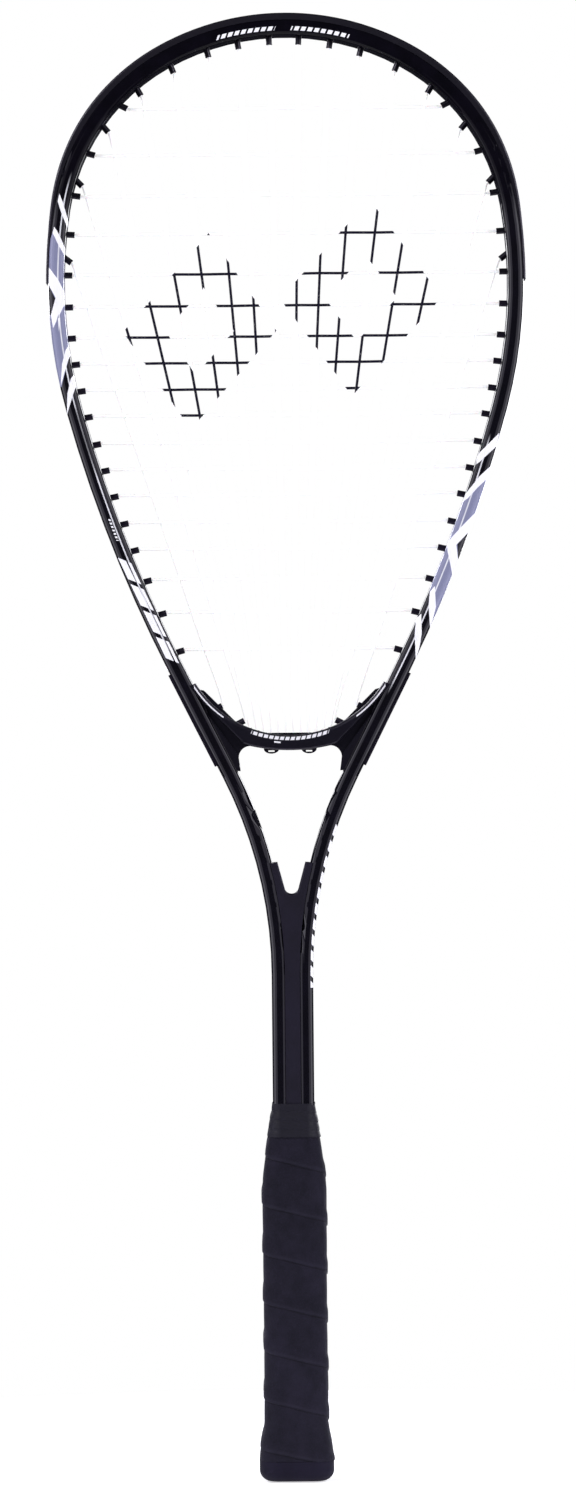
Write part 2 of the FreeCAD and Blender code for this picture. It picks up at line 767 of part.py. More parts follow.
hoop_round = soften(bridge, bar_pad, is_hoop_edge, "hoop_round", "bar_round")
soften(bridge, hoop_round, is_under_edge, "under_round", "under_round")

# thin web between the bar and the legs
bridge_web = new_sketch(bridge, "bridge_web", "XZ_Plane")
outline(bridge_web,
        from_left([under_end, foot_knee, foot_end, end_low, end_top,
                   (40.0, 369.0), (20.0, 349.0)]),
        {0: (dim("under_radius"), -1), 1: (dim("throat_fillet"), 1),
         13: (dim("throat_fillet"), 1)})
pad(bridge, bridge_web, "web_pad", dim("web_depth"), midplane=True)
doc.recompute()

# thicker rail along each leg
for side, word in ((1, "right"), (-1, "left")):
    rail = new_sketch(bridge, "bridge_rail_" + word, "XZ_Plane")
    points = [foot_knee, foot_end, end_low, end_top, (42.5, 370.2), (38.0, 357.5),
              (24.9, 339.6)]
    if side == -1:
        points = [(-Dim.of(x), z) for x, z in points]
    outline(rail, points)
    pad(bridge, rail, "rail_pad_" + word, dim("rib_depth"), midplane=True)
doc.recompute()


def under_z(radius, x):
    """Height at x of a circle about the centre of the bar's underside."""
    return UNDER_CENTRE_Z - math.sqrt(radius * radius - x * x)


def under_band(top_radius, low_radius, half_x, half_y):
    """Part of a ring about the underside's centre, between x limits."""
    def point(radius, x):
        return Vector(x, 0, under_z(radius, x))

    def arc(radius, x):
        return Part.Arc(point(radius, -x), point(radius, 0), point(radius, x)).toShape()

    wire = Part.Wire([arc(top_radius, half_x),
                      Part.makeLine(point(top_radius, half_x), point(low_radius, half_x)),
                      arc(low_radius, -half_x),
                      Part.makeLine(point(low_radius, -half_x), point(top_radius, -half_x))])
    return extrude_face(wire, half_y)


# string slot along the bar's underside, the string holes and the rivet holes
slot_radius = size["under_radius"] - size["under_slot"]
tools = [tube_outer.Shape,
         under_band(slot_radius, size["under_radius"] + 6, 20.6, size["slot_width"] / 2)]
for low_x in MAIN_LOW_X:
    for x in (low_x, -low_x):
        tools.append(cylinder(Vector(x, 0, 338), Vector(x, 0, 356), size["centre_hole_dia"]))
for hole in LOW_HOLES:
    drill = cylinder(at(hole.station), hole.tip + hole.direction * 2, size["hole_dia"])
    tools += [drill, mirror(drill)]
drill = cylinder(at(RIVET_STATION), at(RIVET_STATION, -HALF_WIDTH - 6.0), size["rivet_dia"])
tools += [drill, mirror(drill)]
bridge_tools = feature("bridge_tools", fuse_all(tools))
throat_bridge = boolean("Cut", "throat_bridge", bridge, bridge_tools)
doc.recompute()

# ------------------------------------------------------------ bridge grommet strip
LINER_HALF_LENGTH = 20.3
SADDLE_X = 8.8                 # distance of the two saddles from the middle
SADDLE_HALF_WIDTH = 3.55
SADDLE_HALF_HEIGHT = 2.2
liner_radius = slot_radius + size["strip_thick"]       # underside of the liner


def build_saddle(x):
    """Elliptical lug below the strip, with a flat eye through it along Y."""
    width = size["strip_width"]
    z = under_z(size["under_radius"], x)
    centre = Vector(x, 0, z + 0.2)
    ellipse = Part.Ellipse(centre + Vector(SADDLE_HALF_WIDTH, 0, 0),
                           centre - Vector(0, 0, SADDLE_HALF_HEIGHT), centre)
    lug = extrude_face(Part.Wire([Part.Edge(ellipse)]), width / 2)
    post = Part.makeBox(6.4, width, 2.6, Vector(x - 3.2, -width / 2, z - 0.4))
    post = post.common(under_band(slot_radius, size["under_radius"] + 1,
                                  LINER_HALF_LENGTH, 6))
    eye = Part.makeBox(3.0, 12, 0.7, Vector(x - 1.5, -6, z - 1.15))
    eye = eye.makeFillet(0.33, [e for e in eye.Edges if e.BoundBox.YLength > 11])
    return lug.fuse(post).cut(eye)


def build_bridge_strip():
    liner = under_band(slot_radius, liner_radius, LINER_HALF_LENGTH, size["strip_width"] / 2)
    solid = fuse_all([liner, build_saddle(SADDLE_X), build_saddle(-SADDLE_X)])
    solid = solid.cut(under_band(liner_radius, size["under_radius"] + 6, 21, 1.6))
    posts, bores = [], []
    for low_x in MAIN_LOW_X:
        for x in (low_x, -low_x):
            foot = Vector(x, 0, under_z((slot_radius + liner_radius) / 2, x))
            top = Vector(x, 0, hoop_z(x) - 0.1)
            posts.append(cylinder(foot, top, size["centre_barrel_dia"]))
            bores.append(cylinder(Vector(x, 0, 336), Vector(x, 0, 358), size["bore_dia"]))
    return fuse_all([solid] + posts).cut(bores)


bridge_grommet_strip = feature("bridge_grommet_strip", build_bridge_strip())


# ------------------------------------------------------------------- bridge rivets
def rivet(head_place, direction, length):
    """Dome-headed rivet: the head's underside is at head_place, the shank runs along
    direction."""
    radius, head_radius, head_high = size["rivet_dia"] / 2.0, 2.2, 0.8
    dome = (head_radius * head_radius + head_high * head_high) / (2 * head_high)
    half_angle = math.asin(head_radius / dome) / 2
    dome_middle = Vector(dome * math.sin(half_angle), 0,
                         dome - head_high - dome * math.cos(half_angle))
    end, crown = Vector(0, 0, length), Vector(0, 0, -head_high)
    shank_end, shank_root = Vector(radius, 0, length), Vector(radius, 0, 0)
    head_rim = Vector(head_radius, 0, 0)
    profile = [Part.makeLine(end, shank_end),
               Part.makeLine(shank_end, shank_root),
               Part.makeLine(shank_root, head_rim),
               Part.Arc(head_rim, dome_middle, crown).toShape(),
               Part.makeLine(crown, end)]
    solid = Part.Face(Part.Wire(profile)).revolve(Vector(0, 0, 0), Vector(0, 0, 1), 360)
    solid.Placement = Placement(head_place, Rotation(Vector(0, 0, 1), unit(direction)))
    return solid


bridge_rivet = rivet(at(RIVET_STATION, GROOVE_FLOOR), -outward(RIVET_STATION),
                     HALF_WIDTH + GROOVE_FLOOR + 6.0)
bridge_rivets = feature("bridge_rivets",
                        Part.makeCompound([bridge_rivet, mirror(bridge_rivet)]))

# ---------------------------------------------------------------------- shaft wedge
# It fills the gap between the two legs; its sides lap into them and are trimmed back.
wedge = new_body("wedge_blank")
wedge_outline = new_sketch(wedge, "wedge_outline", "XZ_Plane")
lap_x = inner_x + dim("wedge_lap")
lap_radius = dim("shoulder_radius") + dim("tube_width") / 2 - dim("wedge_lap")
lap_offset = size["wedge_lap"] - HALF_WIDTH
top_station = solve(lambda t: at(t, lap_offset).z - (size["wedge_top_z"] - 0.3),
                    SHOULDER.start, SHOULDER.end)
top_point = at(top_station, lap_offset)
outline(wedge_outline,
        from_left([(lap_x, dim("wedge_low_z")), (lap_x, JOINTS[5][1]),
                   (top_point.x, top_point.z),
                   (dim("notch_half_top"), dim("wedge_top_z")),
                   (dim("notch_touch_x"), dim("notch_touch_z"))]),
        {2: (lap_radius, 1), 5: (dim("notch_radius"), 1), 8: (lap_radius, 1)})
wedge_pad = pad(wedge, wedge_outline, "wedge_pad", dim("wedge_depth"), midplane=True)
doc.recompute()


def is_notch_edge(edge):
    return (face_edge(edge, size["wedge_depth"] / 2) and edge.CenterOfMass.z > 272
            and abs(edge.CenterOfMass.x) < 6.0)


soften(wedge, wedge_pad, is_notch_edge, "notch_rounds", "notch_round")
screw_z = size["screw_high_z"]
wedge_tools = feature("wedge_tools", fuse_all([
    tube_outer.Shape,
    cylinder(Vector(-12, 0, PIN_Z), Vector(12, 0, PIN_Z), size["rivet_dia"]),
    cylinder(Vector(0, -12, screw_z), Vector(0, 12, screw_z), size["screw_dia"] + 0.2)]))
shaft_wedge = boolean("Cut", "shaft_wedge", wedge, wedge_tools)
doc.recompute()

# --------------------------------------------------------------------- wedge rivet
pin_half = SHAFT.x + GROOVE_FLOOR
half_rivet = rivet(Vector(pin_half, 0, PIN_Z), Vector(-1, 0, 0), pin_half + 1.0)
wedge_rivet = feature("wedge_rivet", half_rivet.fuse(mirror(half_rivet)).removeSplitter())
doc.recompute()

# ------------------------------------------------------------------ handle core blank
core = new_body("core_blank")
core_sketches = []
for name, height, prefix in (("core_low", "core_low_z", "core"),
                             ("core_knee", "core_knee_z", "core"),
                             ("core_top", "core_top_z", "core_top")):
    sketch = new_sketch(core, name, "XY_Plane", dim(height))
    octagon(sketch, dim(prefix + "_width"), dim(prefix + "_depth"), dim(prefix + "_facet"))
    core_sketches.append(sketch)
loft(core, core_sketches, "core_loft")
doc.recompute()

# envelope of the two legs side by side, which the pallets and the grip clasp
hull = new_body("shaft_hull")
hull_section = new_sketch(hull, "hull_section", "XY_Plane", 0.0)
round_rect(hull_section, 0, outer_x * 2, dim("tube_depth"), dim("tube_corner"))
pad(hull, hull_section, "hull_pad", 230.0)
doc.recompute()

# --------------------------------------------------------------------- pallet screws
SCREW_Z = [size["screw_low_z"], size["screw_high_z"]]
HALF_SCREW = size["screw_length"] / 2
DRIVE_LENGTH, DRIVE_WIDTH = 4.2, 0.8       # cross recess, as deep as it is wide


def screw_blank(z):
    """Countersunk screw along +Y, its head on the front pallet."""
    radius, head_radius = size["screw_dia"] / 2, size["screw_head_dia"] / 2
    neck_y = -HALF_SCREW + size["screw_head_high"]
    profile = [Vector(0, -HALF_SCREW, 0), Vector(head_radius, -HALF_SCREW, 0),
               Vector(head_radius, -HALF_SCREW + 0.25, 0), Vector(radius, neck_y, 0),
               Vector(radius, HALF_SCREW, 0), Vector(0, HALF_SCREW, 0),
               Vector(0, -HALF_SCREW, 0)]
    face = Part.Face(Part.makePolygon(profile))
    solid = face.revolve(Vector(0, 0, 0), Vector(0, 1, 0), 360)
    solid.translate(Vector(0, 0, z))
    return solid


def build_screw(z):
    long_half, short_half = DRIVE_LENGTH / 2, DRIVE_WIDTH / 2
    level = Part.makeBox(DRIVE_LENGTH, DRIVE_WIDTH, DRIVE_WIDTH,
                         Vector(-long_half, -HALF_SCREW, z - short_half))
    upright = Part.makeBox(DRIVE_WIDTH, DRIVE_WIDTH, DRIVE_LENGTH,
                           Vector(-short_half, -HALF_SCREW, z - long_half))
    return screw_blank(z).cut([level, upright])


pallet_screws = feature("pallet_screws", Part.makeCompound([build_screw(z) for z in SCREW_Z]))

# -------------------------------------------------------------------- butt cap tacks
# one from each side, through the cap's neck into a pallet
TACK_Z = 16.0
TACK_HEAD_THICK = 0.5
TACK_SHANK = 2.8               # length between the head and the point
TACK_POINT = 1.0


def neck_half_width(z):
    share = (z - size["cap_lip_z"]) / (size["cap_top_z"] - size["cap_lip_z"])
    return (size["cap_neck_width"] * (1 - share) + size["cap_top_width"] * share) / 2


def tack(side, extra=0.0):
    """Tack on the right (1) or left (-1); extra lengthens the head outwards."""
    head_x = neck_half_width(TACK_Z) - 0.45 - TACK_HEAD_THICK
    y = -3.4 * side
    shank_x = head_x - TACK_SHANK
    inwards = Vector(1, 0, 0)
    head = Part.makeCylinder(1.7, TACK_HEAD_THICK + extra, Vector(head_x, y, TACK_Z), inwards)
    shank = Part.makeCylinder(0.6, TACK_SHANK + 0.6, Vector(shank_x, y, TACK_Z), inwards)
    point = Part.makeCone(0.0, 0.6, TACK_POINT, Vector(shank_x - TACK_POINT, y, TACK_Z),
                          inwards)
    solid = head.fuse([shank, point])
    return solid if side == 1 else mirror(solid)


butt_cap_tacks = feature("butt_cap_tacks", Part.makeCompound([tack(1), tack(-1)]))

# ----------------------------------------------------------------------- grip staple
# holds the start of the wrap on the front pallet
STAPLE_Z = 30.0
STAPLE_SPAN, STAPLE_HEIGHT = 8.0, 0.9
STAPLE_CROWN, STAPLE_LEG_WIDTH, STAPLE_LEG_LENGTH = 0.6, 0.7, 2.0
staple_y = -size["core_depth"] / 2
staple_low = STAPLE_Z - STAPLE_HEIGHT / 2
crown = Part.makeBox(STAPLE_SPAN, STAPLE_CROWN, STAPLE_HEIGHT,
                     Vector(-STAPLE_SPAN / 2, staple_y - STAPLE_CROWN, staple_low))
staple_legs = [Part.makeBox(STAPLE_LEG_WIDTH, STAPLE_LEG_LENGTH, STAPLE_HEIGHT,
                            Vector(x, staple_y, staple_low))
               for x in (-STAPLE_SPAN / 2, STAPLE_SPAN / 2 - STAPLE_LEG_WIDTH)]
staple_solid = fuse_all([crown] + staple_legs).removeSplitter()
grip_staple = feature("grip_staple", staple_solid)

# ---------------------------------------------------------------------- grip pallets
pallet_tools = feature("pallet_tools", fuse_all(
    [hull.Shape] + [screw_blank(z) for z in SCREW_Z] + [tack(1), tack(-1), staple_solid]))
core_shell = boolean("Cut", "core_shell", core, pallet_tools)
half_boxes = []
for name, low_y in (("front_half", -30.0), ("back_half", 0.0)):
    box = doc.addObject("Part::Box", name)
    box.Length, box.Width = 60.0, 30.0
    box.setExpression("Height", "Dims.core_top_z + 40")
    box.Placement = Placement(Vector(-30, low_y, -10), Rotation())
    half_boxes.append(box)
pallet_front = boolean("Common", "pallet_front", core_shell, half_boxes[0])
pallet_back = boolean("Common", "pallet_back", core_shell, half_boxes[1])
doc.recompute()

# -------------------------------------------------------------------------- butt cap
cap = new_body("cap_blank")


def cap_sketch(name, height, prefix):
    sketch = new_sketch(cap, name, "XY_Plane", height)
    round_rect(sketch, 0, dim(prefix + "_width"), dim(prefix + "_depth"),
               dim(prefix + "_corner"))
    return sketch


cap_pad = pad(cap, cap_sketch("cap_foot", 0.0, "cap"), "cap_pad", dim("cap_lip_z"))
doc.recompute()
soften(cap, cap_pad, lambda edge: edge.BoundBox.ZMax < 1e-4, "cap_round_off", "cap_round")
loft(cap, [cap_sketch("cap_neck", dim("cap_lip_z"), "cap_neck"),
           cap_sketch("cap_top", dim("cap_top_z"), "cap_top")], "cap_neck_loft")
doc.recompute()
cap_tools = feature("cap_tools", fuse_all([core.Shape, tack(1, 1.0), tack(-1, 1.0)]))
butt_cap = boolean("Cut", "butt_cap", cap, cap_tools)
doc.recompute()

# ------------------------------------------------------------------------- grip wrap
# z, width, depth, corner
WRAP_STATIONS = [
    (dim("cap_lip_z"), dim("cap_width"), dim("cap_depth"), dim("cap_corner")),
    (18.2, 32.8, 29.4, 8.9),
    (dim("wrap_flare_z"), dim("wrap_width"), dim("wrap_depth"), dim("wrap_corner")),
    (dim("wrap_knee_z"), dim("wrap_width"), dim("wrap_depth"), dim("wrap_corner")),
    (dim("wrap_mid_z"), dim("wrap_mid_width"), dim("wrap_mid_depth"), 6.6),
    (dim("wrap_top_z"), dim("wrap_top_width"), dim("wrap_top_depth"), 4.4),
]
wrap = rounded_loft("wrap", WRAP_STATIONS)
wrap_tools = feature("wrap_tools",
                     fuse_all([core.Shape, hull.Shape, cap.Shape, staple_solid]))
grip_wrap = boolean("Cut", "grip_wrap", wrap, wrap_tools)
doc.recompute()

# -------------------------------------------------------------------- finishing tape
# z, width, depth, corner
TAPE_STATIONS = [
    (dim("tape_low_z"), 25.4, 24.7, 6.8),
    (dim("wrap_top_z"), 22.0, 21.5, 4.8),
    (172.2, 20.8, 20.4, 4.2),
    (dim("tape_top_z"), 20.0, 19.7, 3.5),
]
tape = rounded_loft("tape", TAPE_STATIONS)
tape_tools = feature("tape_tools", wrap.Shape.fuse(hull.Shape))
finishing_tape = boolean("Cut", "finishing_tape", tape, tape_tools)
doc.recompute()

# ----------------------------------------------------------------------- the strings
# A string is planned as a list of (point, radius): the corner at the point is rounded
# to the radius, and radius 0 passes straight through the point.
STRING_RADIUS = size["string_dia"] / 2
PEG_BEND = 1.6                 # bend radii: at a peg's tip,
MOUTH_BEND = 0.85              # where a string enters the groove,
GROOVE_BEND = 1.5              # and where it straightens along the groove
GROOVE_Y = 1.45                # mains run behind the groove's middle, crosses in front
BRIDGE_DIP = 2.4               # inner mains change to loops this far below the hoop edge


def round_corner(before, corner, after, radius):
    """Points round one corner, or the corner itself where the string hardly turns."""
    back, ahead = unit(before - corner), unit(after - corner)
    angle = math.acos(max(-1.0, min(1.0, back.dot(ahead))))
    turn = math.pi - angle
    if turn < math.radians(4):
        return [corner]
    trim = radius / math.tan(angle / 2)
    centre = corner + unit(back + ahead) * (radius / math.sin(angle / 2))
    across = unit(corner + back * trim - centre)
    to_end = corner + ahead * trim - centre
    along = unit(to_end - across * to_end.dot(across))
    steps = max(2, int(math.degrees(turn) / 18) + 1)
    points = []
    for k in range(steps + 1):
        theta = turn * k / steps
        points.append(centre + across * (radius * math.cos(theta))
                      + along * (radius * math.sin(theta)))
    return points


def smooth(plan):
    points = []
    for k, (point, radius) in enumerate(plan):
        if radius <= 0 or k in (0, len(plan) - 1):
            points.append(point)
        else:
            points += round_corner(plan[k - 1][0], point, plan[k + 1][0], radius)
    return points


def curve(points):
    """Spline through the points, leaving out those that nearly coincide."""
    kept = [points[0]]
    for point in points[1:]:
        if (point - kept[-1]).Length > 0.12:
            kept.append(point)
    spline = Part.BSplineCurve()
    spline.interpolate(Points=kept, InitialTangent=unit(kept[1] - kept[0]),
                       FinalTangent=unit(kept[-1] - kept[-2]))
    return spline


def sweep(spline):
    """Round string along a curve; the section keeps its full height across the bed."""
    start = spline.value(spline.FirstParameter)
    direction = spline.tangent(spline.FirstParameter)[0]
    maker = Part.BRepOffsetAPI.MakePipeShell(Part.Wire([spline.toShape()]))
    maker.setBiNormalMode(Vector(0, 1, 0))
    maker.add(Part.Wire([Part.makeCircle(STRING_RADIUS, start, direction)]))
    maker.build()
    maker.makeSolid()
    return maker.shape()


def halfway(start, end):
    return start + (end - start) * 0.5


def flip_plan(plan):
    return [(flip(point), radius) for point, radius in plan]


def backwards(plan):
    return plan[::-1]


def peg_plan(hole):
    """From the middle of the tube through the hole's peg to the string's corner."""
    start = hole.axis(0.0)
    return [(start, 0), (halfway(start, hole.tip), 0), (hole.corner, PEG_BEND)]


def mouth_plan(hole):
    """From the middle of the tube outwards to the string's run in the groove."""
    return [(hole.axis(0.0), 0), (hole.axis(STRING_SEAT * 0.6), 0),
            (hole.axis(STRING_RUN), MOUTH_BEND)]


# ends of the mains' straight runs, left to right: (top, low, number from middle, side)
MAINS = []
for side in (-1, 1):
    numbers = range(len(MAIN_HOLES))
    for k in (reversed(numbers) if side == -1 else numbers):
        top = MAIN_HOLES[k].corner
        if k < INNER_MAINS:
            low = Vector(MAIN_LOW_X[k], 0, hoop_z(MAIN_LOW_X[k]) + 1.0)
        else:
            low = LOW_HOLES[k - INNER_MAINS].corner
        if side == -1:
            top, low = flip(top), flip(low)
        MAINS.append((top, low, k, side))


def crossing(main, z):
    """Point of a main at height z, or None beyond its ends."""
    top, low = main[0], main[1]
    if not low.z < z < top.z:
        return None
    share = (top.z - z) / (top.z - low.z)
    return Vector(top.x + (low.x - top.x) * share, 0, z)


def weave(i, j, point):
    """Heights in y of main i and cross j where they meet; next to the frame the main
    takes nearly all of the gap."""
    reach = abs(CROSS_HOLES[j].corner.x) - abs(point.x)
    share = min(max((reach - 1.0) / 6.0, 0.06), 1.0) * 0.5
    sign = 1 if (i + j) % 2 else -1
    gap = size["weave_gap"]
    return Vector(0, sign * gap * (1 - share), 0), Vector(0, -sign * gap * share, 0)


def main_run(i):
    _, low, k, side = MAINS[i]
    plan = peg_plan(MAIN_HOLES[k])
    if side == -1:
        plan = flip_plan(plan)
    for j, z in enumerate(CROSS_Z):
        point = crossing(MAINS[i], z)
        if point is not None:
            plan.append((point + weave(i, j, point)[0], 0))
    if k < INNER_MAINS:
        x = side * MAIN_LOW_X[k]
        end = Vector(x, 0, hoop_z(x) - BRIDGE_DIP)
        plan += [(low, 2.0), (end + Vector(0, 0, 0.8), 0), (end, 0)]
    else:
        finish = backwards(peg_plan(LOW_HOLES[k - INNER_MAINS]))
        plan += flip_plan(finish) if side == -1 else finish
    return curve(smooth(plan))


def cross_run(j):
    hole = CROSS_HOLES[j]
    meets = []
    for i, main in enumerate(MAINS):
        point = crossing(main, hole.corner.z)
        if point is not None and abs(point.x) < hole.corner.x - 0.3:
            meets.append((point + weave(i, j, point)[1], 0))
    right = peg_plan(hole)
    return curve(smooth(flip_plan(right) + meets + backwards(right)))


def groove_station(hole):
    """Station where the hole's axis reaches the string's run in the groove."""
    mouth = hole.axis(STRING_RUN)
    return solve(lambda t: (at(t, STRING_RUN) - mouth).dot(tangent(t)),
                 hole.station - 8, hole.station + 8)


def groove_point(station, y):
    return at(station, STRING_RUN) + Vector(0, y, 0)


def groove_loop(hole_one, hole_two, y, side):
    """Run of string in the groove between two holes (given down the right side)."""
    first, second = sorted((hole_one, hole_two), key=lambda hole: hole.station)
    lead = 3.2
    start = groove_station(first) + lead
    length = groove_station(second) - lead - start
    steps = max(1, int(length / 5.0))
    plan = mouth_plan(first)
    for k in range(steps + 1):
        plan.append((groove_point(start + length * k / steps, y),
                     GROOVE_BEND if k in (0, steps) else 0))
    plan += backwards(mouth_plan(second))
    points = smooth(plan)
    if side == -1:
        points = [flip(point) for point in points]
    return curve(points)


def head_loop():
    """Over the tip of the head, between the two middle mains."""
    right = mouth_plan(MAIN_HOLES[0]) + [(groove_point(3.6, GROOVE_Y), GROOVE_BEND)]
    top = [(groove_point(0, GROOVE_Y), 0)]
    return curve(smooth(right + top + flip_plan(backwards(right))))


def bridge_loop(x_one, x_two):
    """Under the bridge's bar, between two neighbouring inner mains."""
    def descent(x):
        top = Vector(x, 0, hoop_z(x) - BRIDGE_DIP)
        foot = Vector(x, 0, under_z(liner_radius + STRING_RADIUS + 0.03, x))
        return [(top, 0), (halfway(top, foot), 0), (foot, size["eyelet_bend"])]
    return curve(smooth(descent(x_one) + backwards(descent(x_two))))


def free_end(hole, way, y, side):
    """End of a string: out of its hole and a short way along the groove.  way is +1
    down the frame, -1 up.  Gives the curve, its last point and its direction there."""
    station = groove_station(hole)
    near, far = station + way * 3.2, station + way * 4.6
    last = groove_point(far, y)
    along = unit(at(far, STRING_RUN) - at(near, STRING_RUN))
    points = smooth(mouth_plan(hole) + [(groove_point(near, y), GROOVE_BEND), (last, 0)])
    if side == -1:
        points, last, along = [flip(point) for point in points], flip(last), flip(along)
    return curve(points), last, along


def knot(last, along):
    """Short barrel with rounded ends, standing on the same floor as the string."""
    radius = size["knot_dia"] / 2
    rise = Vector(along.z, 0, -along.x)
    head_middle = Vector(0, last.y, size["head_top"] - 180)
    if rise.dot(last - head_middle) < 0:
        rise = rise * -1
    barrel = Part.makeCylinder(radius, 2.6, last + rise * (radius - STRING_RADIUS), along)
    rims = [e for e in barrel.Edges if e.Curve.TypeId == "Part::GeomCircle"]
    return barrel.makeFillet(radius * 0.55, rims)


main_curves = [main_run(i) for i in range(len(MAINS))]
for one, two in ((6, 5), (4, 3), (2, 1)):
    for side in (1, -1):
        main_curves.append(groove_loop(MAIN_HOLES[one], MAIN_HOLES[two], GROOVE_Y, side))
main_curves.append(head_loop())
for side in (1, -1):
    main_curves.append(groove_loop(LOW_HOLES[0], LOW_HOLES[1], 0.0, side))
for k in range(0, INNER_MAINS, 2):
    for side in (1, -1):
        main_curves.append(bridge_loop(side * MAIN_LOW_X[k], side * MAIN_LOW_X[k + 1]))

cross_curves = [cross_run(j) for j in range(len(CROSS_Z))]
for first, side in ((0, 1), (1, -1)):
    for k in range(first, len(CROSS_HOLES) - 1, 2):
        cross_curves.append(groove_loop(CROSS_HOLES[k], CROSS_HOLES[k + 1], -GROOVE_Y, side))

knots = []
for hole, way, y, side, curves in ((MAIN_HOLES[-1], -1, GROOVE_Y, 1, main_curves),
                                   (MAIN_HOLES[-1], -1, GROOVE_Y, -1, main_curves),
                                   (CROSS_HOLES[0], -1, -GROOVE_Y, -1, cross_curves),
                                   (CROSS_HOLES[-1], 1, -GROOVE_Y, -1, cross_curves)):
    spline, last, along = free_end(hole, way, y, side)
    curves.append(spline)
    knots.append(knot(last, along))

main_strings = feature("main_strings", Part.makeCompound([sweep(c) for c in main_curves]))
cross_strings = feature("cross_strings", Part.makeCompound([sweep(c) for c in cross_curves]))
string_knots = feature("string_knots", Part.makeCompound(knots))
doc.recompute()

# ---------------------------------------------------------------------------- output
NODES = [frame_tube, head_bumper, grommet_strip_left, grommet_strip_right, throat_bridge,
         bridge_grommet_strip, bridge_rivets, shaft_wedge, wedge_rivet, main_strings,
         cross_strings, string_knots, pallet_front, pallet_back, pallet_screws, butt_cap,
         butt_cap_tacks, grip_staple, grip_wrap, finishing_tape]

problems = []
for item in doc.Objects:
    if "Invalid" in item.State or "Error" in item.State:
        problems.append("%s %s" % (item.Name, item.State))
for node in NODES:
    if node.Shape.isNull() or not node.Shape.isValid() or not node.Shape.Solids:
        problems.append("%s shape" % node.Label)
if problems:
    raise RuntimeError("; ".join(problems))
for node in NODES:
    node.Shape.exportStep(os.path.join("parts", node.Label + ".step"))
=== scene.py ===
"""A tennis racket standing upright on its butt cap.

The face of the head lies in the XZ plane and its front looks along -Y. Left is -X and right is +X.
The handle runs up the Z axis from the floor at z = 0. Tables and shader graphs are in millimetres.
"""

import json
import math
from functools import reduce

import bmesh
import bpy
import numpy as np
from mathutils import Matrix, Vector

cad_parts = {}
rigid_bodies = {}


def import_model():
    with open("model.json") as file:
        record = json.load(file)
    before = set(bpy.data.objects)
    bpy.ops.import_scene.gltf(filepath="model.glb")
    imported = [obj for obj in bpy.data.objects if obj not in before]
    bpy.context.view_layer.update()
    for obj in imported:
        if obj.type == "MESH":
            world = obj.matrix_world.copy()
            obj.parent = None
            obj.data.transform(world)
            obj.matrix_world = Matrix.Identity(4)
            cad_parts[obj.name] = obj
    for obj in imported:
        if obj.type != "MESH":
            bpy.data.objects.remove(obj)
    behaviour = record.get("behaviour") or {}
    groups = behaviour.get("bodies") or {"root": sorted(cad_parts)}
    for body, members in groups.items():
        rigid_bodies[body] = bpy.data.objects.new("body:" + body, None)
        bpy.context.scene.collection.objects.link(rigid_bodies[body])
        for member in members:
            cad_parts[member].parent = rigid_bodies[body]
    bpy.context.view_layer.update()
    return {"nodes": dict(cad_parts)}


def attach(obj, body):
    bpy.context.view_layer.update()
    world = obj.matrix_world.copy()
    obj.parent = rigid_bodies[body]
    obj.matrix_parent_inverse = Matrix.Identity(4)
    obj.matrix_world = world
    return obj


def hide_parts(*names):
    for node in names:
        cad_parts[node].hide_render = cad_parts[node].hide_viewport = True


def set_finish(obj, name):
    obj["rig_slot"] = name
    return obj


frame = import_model()
NODES = frame["nodes"]
MM = 0.001

# ---------------------------------------------------------------- shader graph helper

SHADER_INPUTS = {
    "base": "Base Color", "rough": "Roughness", "metal": "Metallic", "normal": "Normal",
    "spec": "Specular IOR Level", "spec_tint": "Specular Tint", "coat": "Coat Weight",
    "coat_rough": "Coat Roughness", "coat_normal": "Coat Normal", "sheen": "Sheen Weight",
    "sheen_rough": "Sheen Roughness", "sheen_tint": "Sheen Tint", "sub": "Subsurface Weight",
    "sub_scale": "Subsurface Scale", "emit": "Emission Strength", "emit_color": "Emission Color",
}


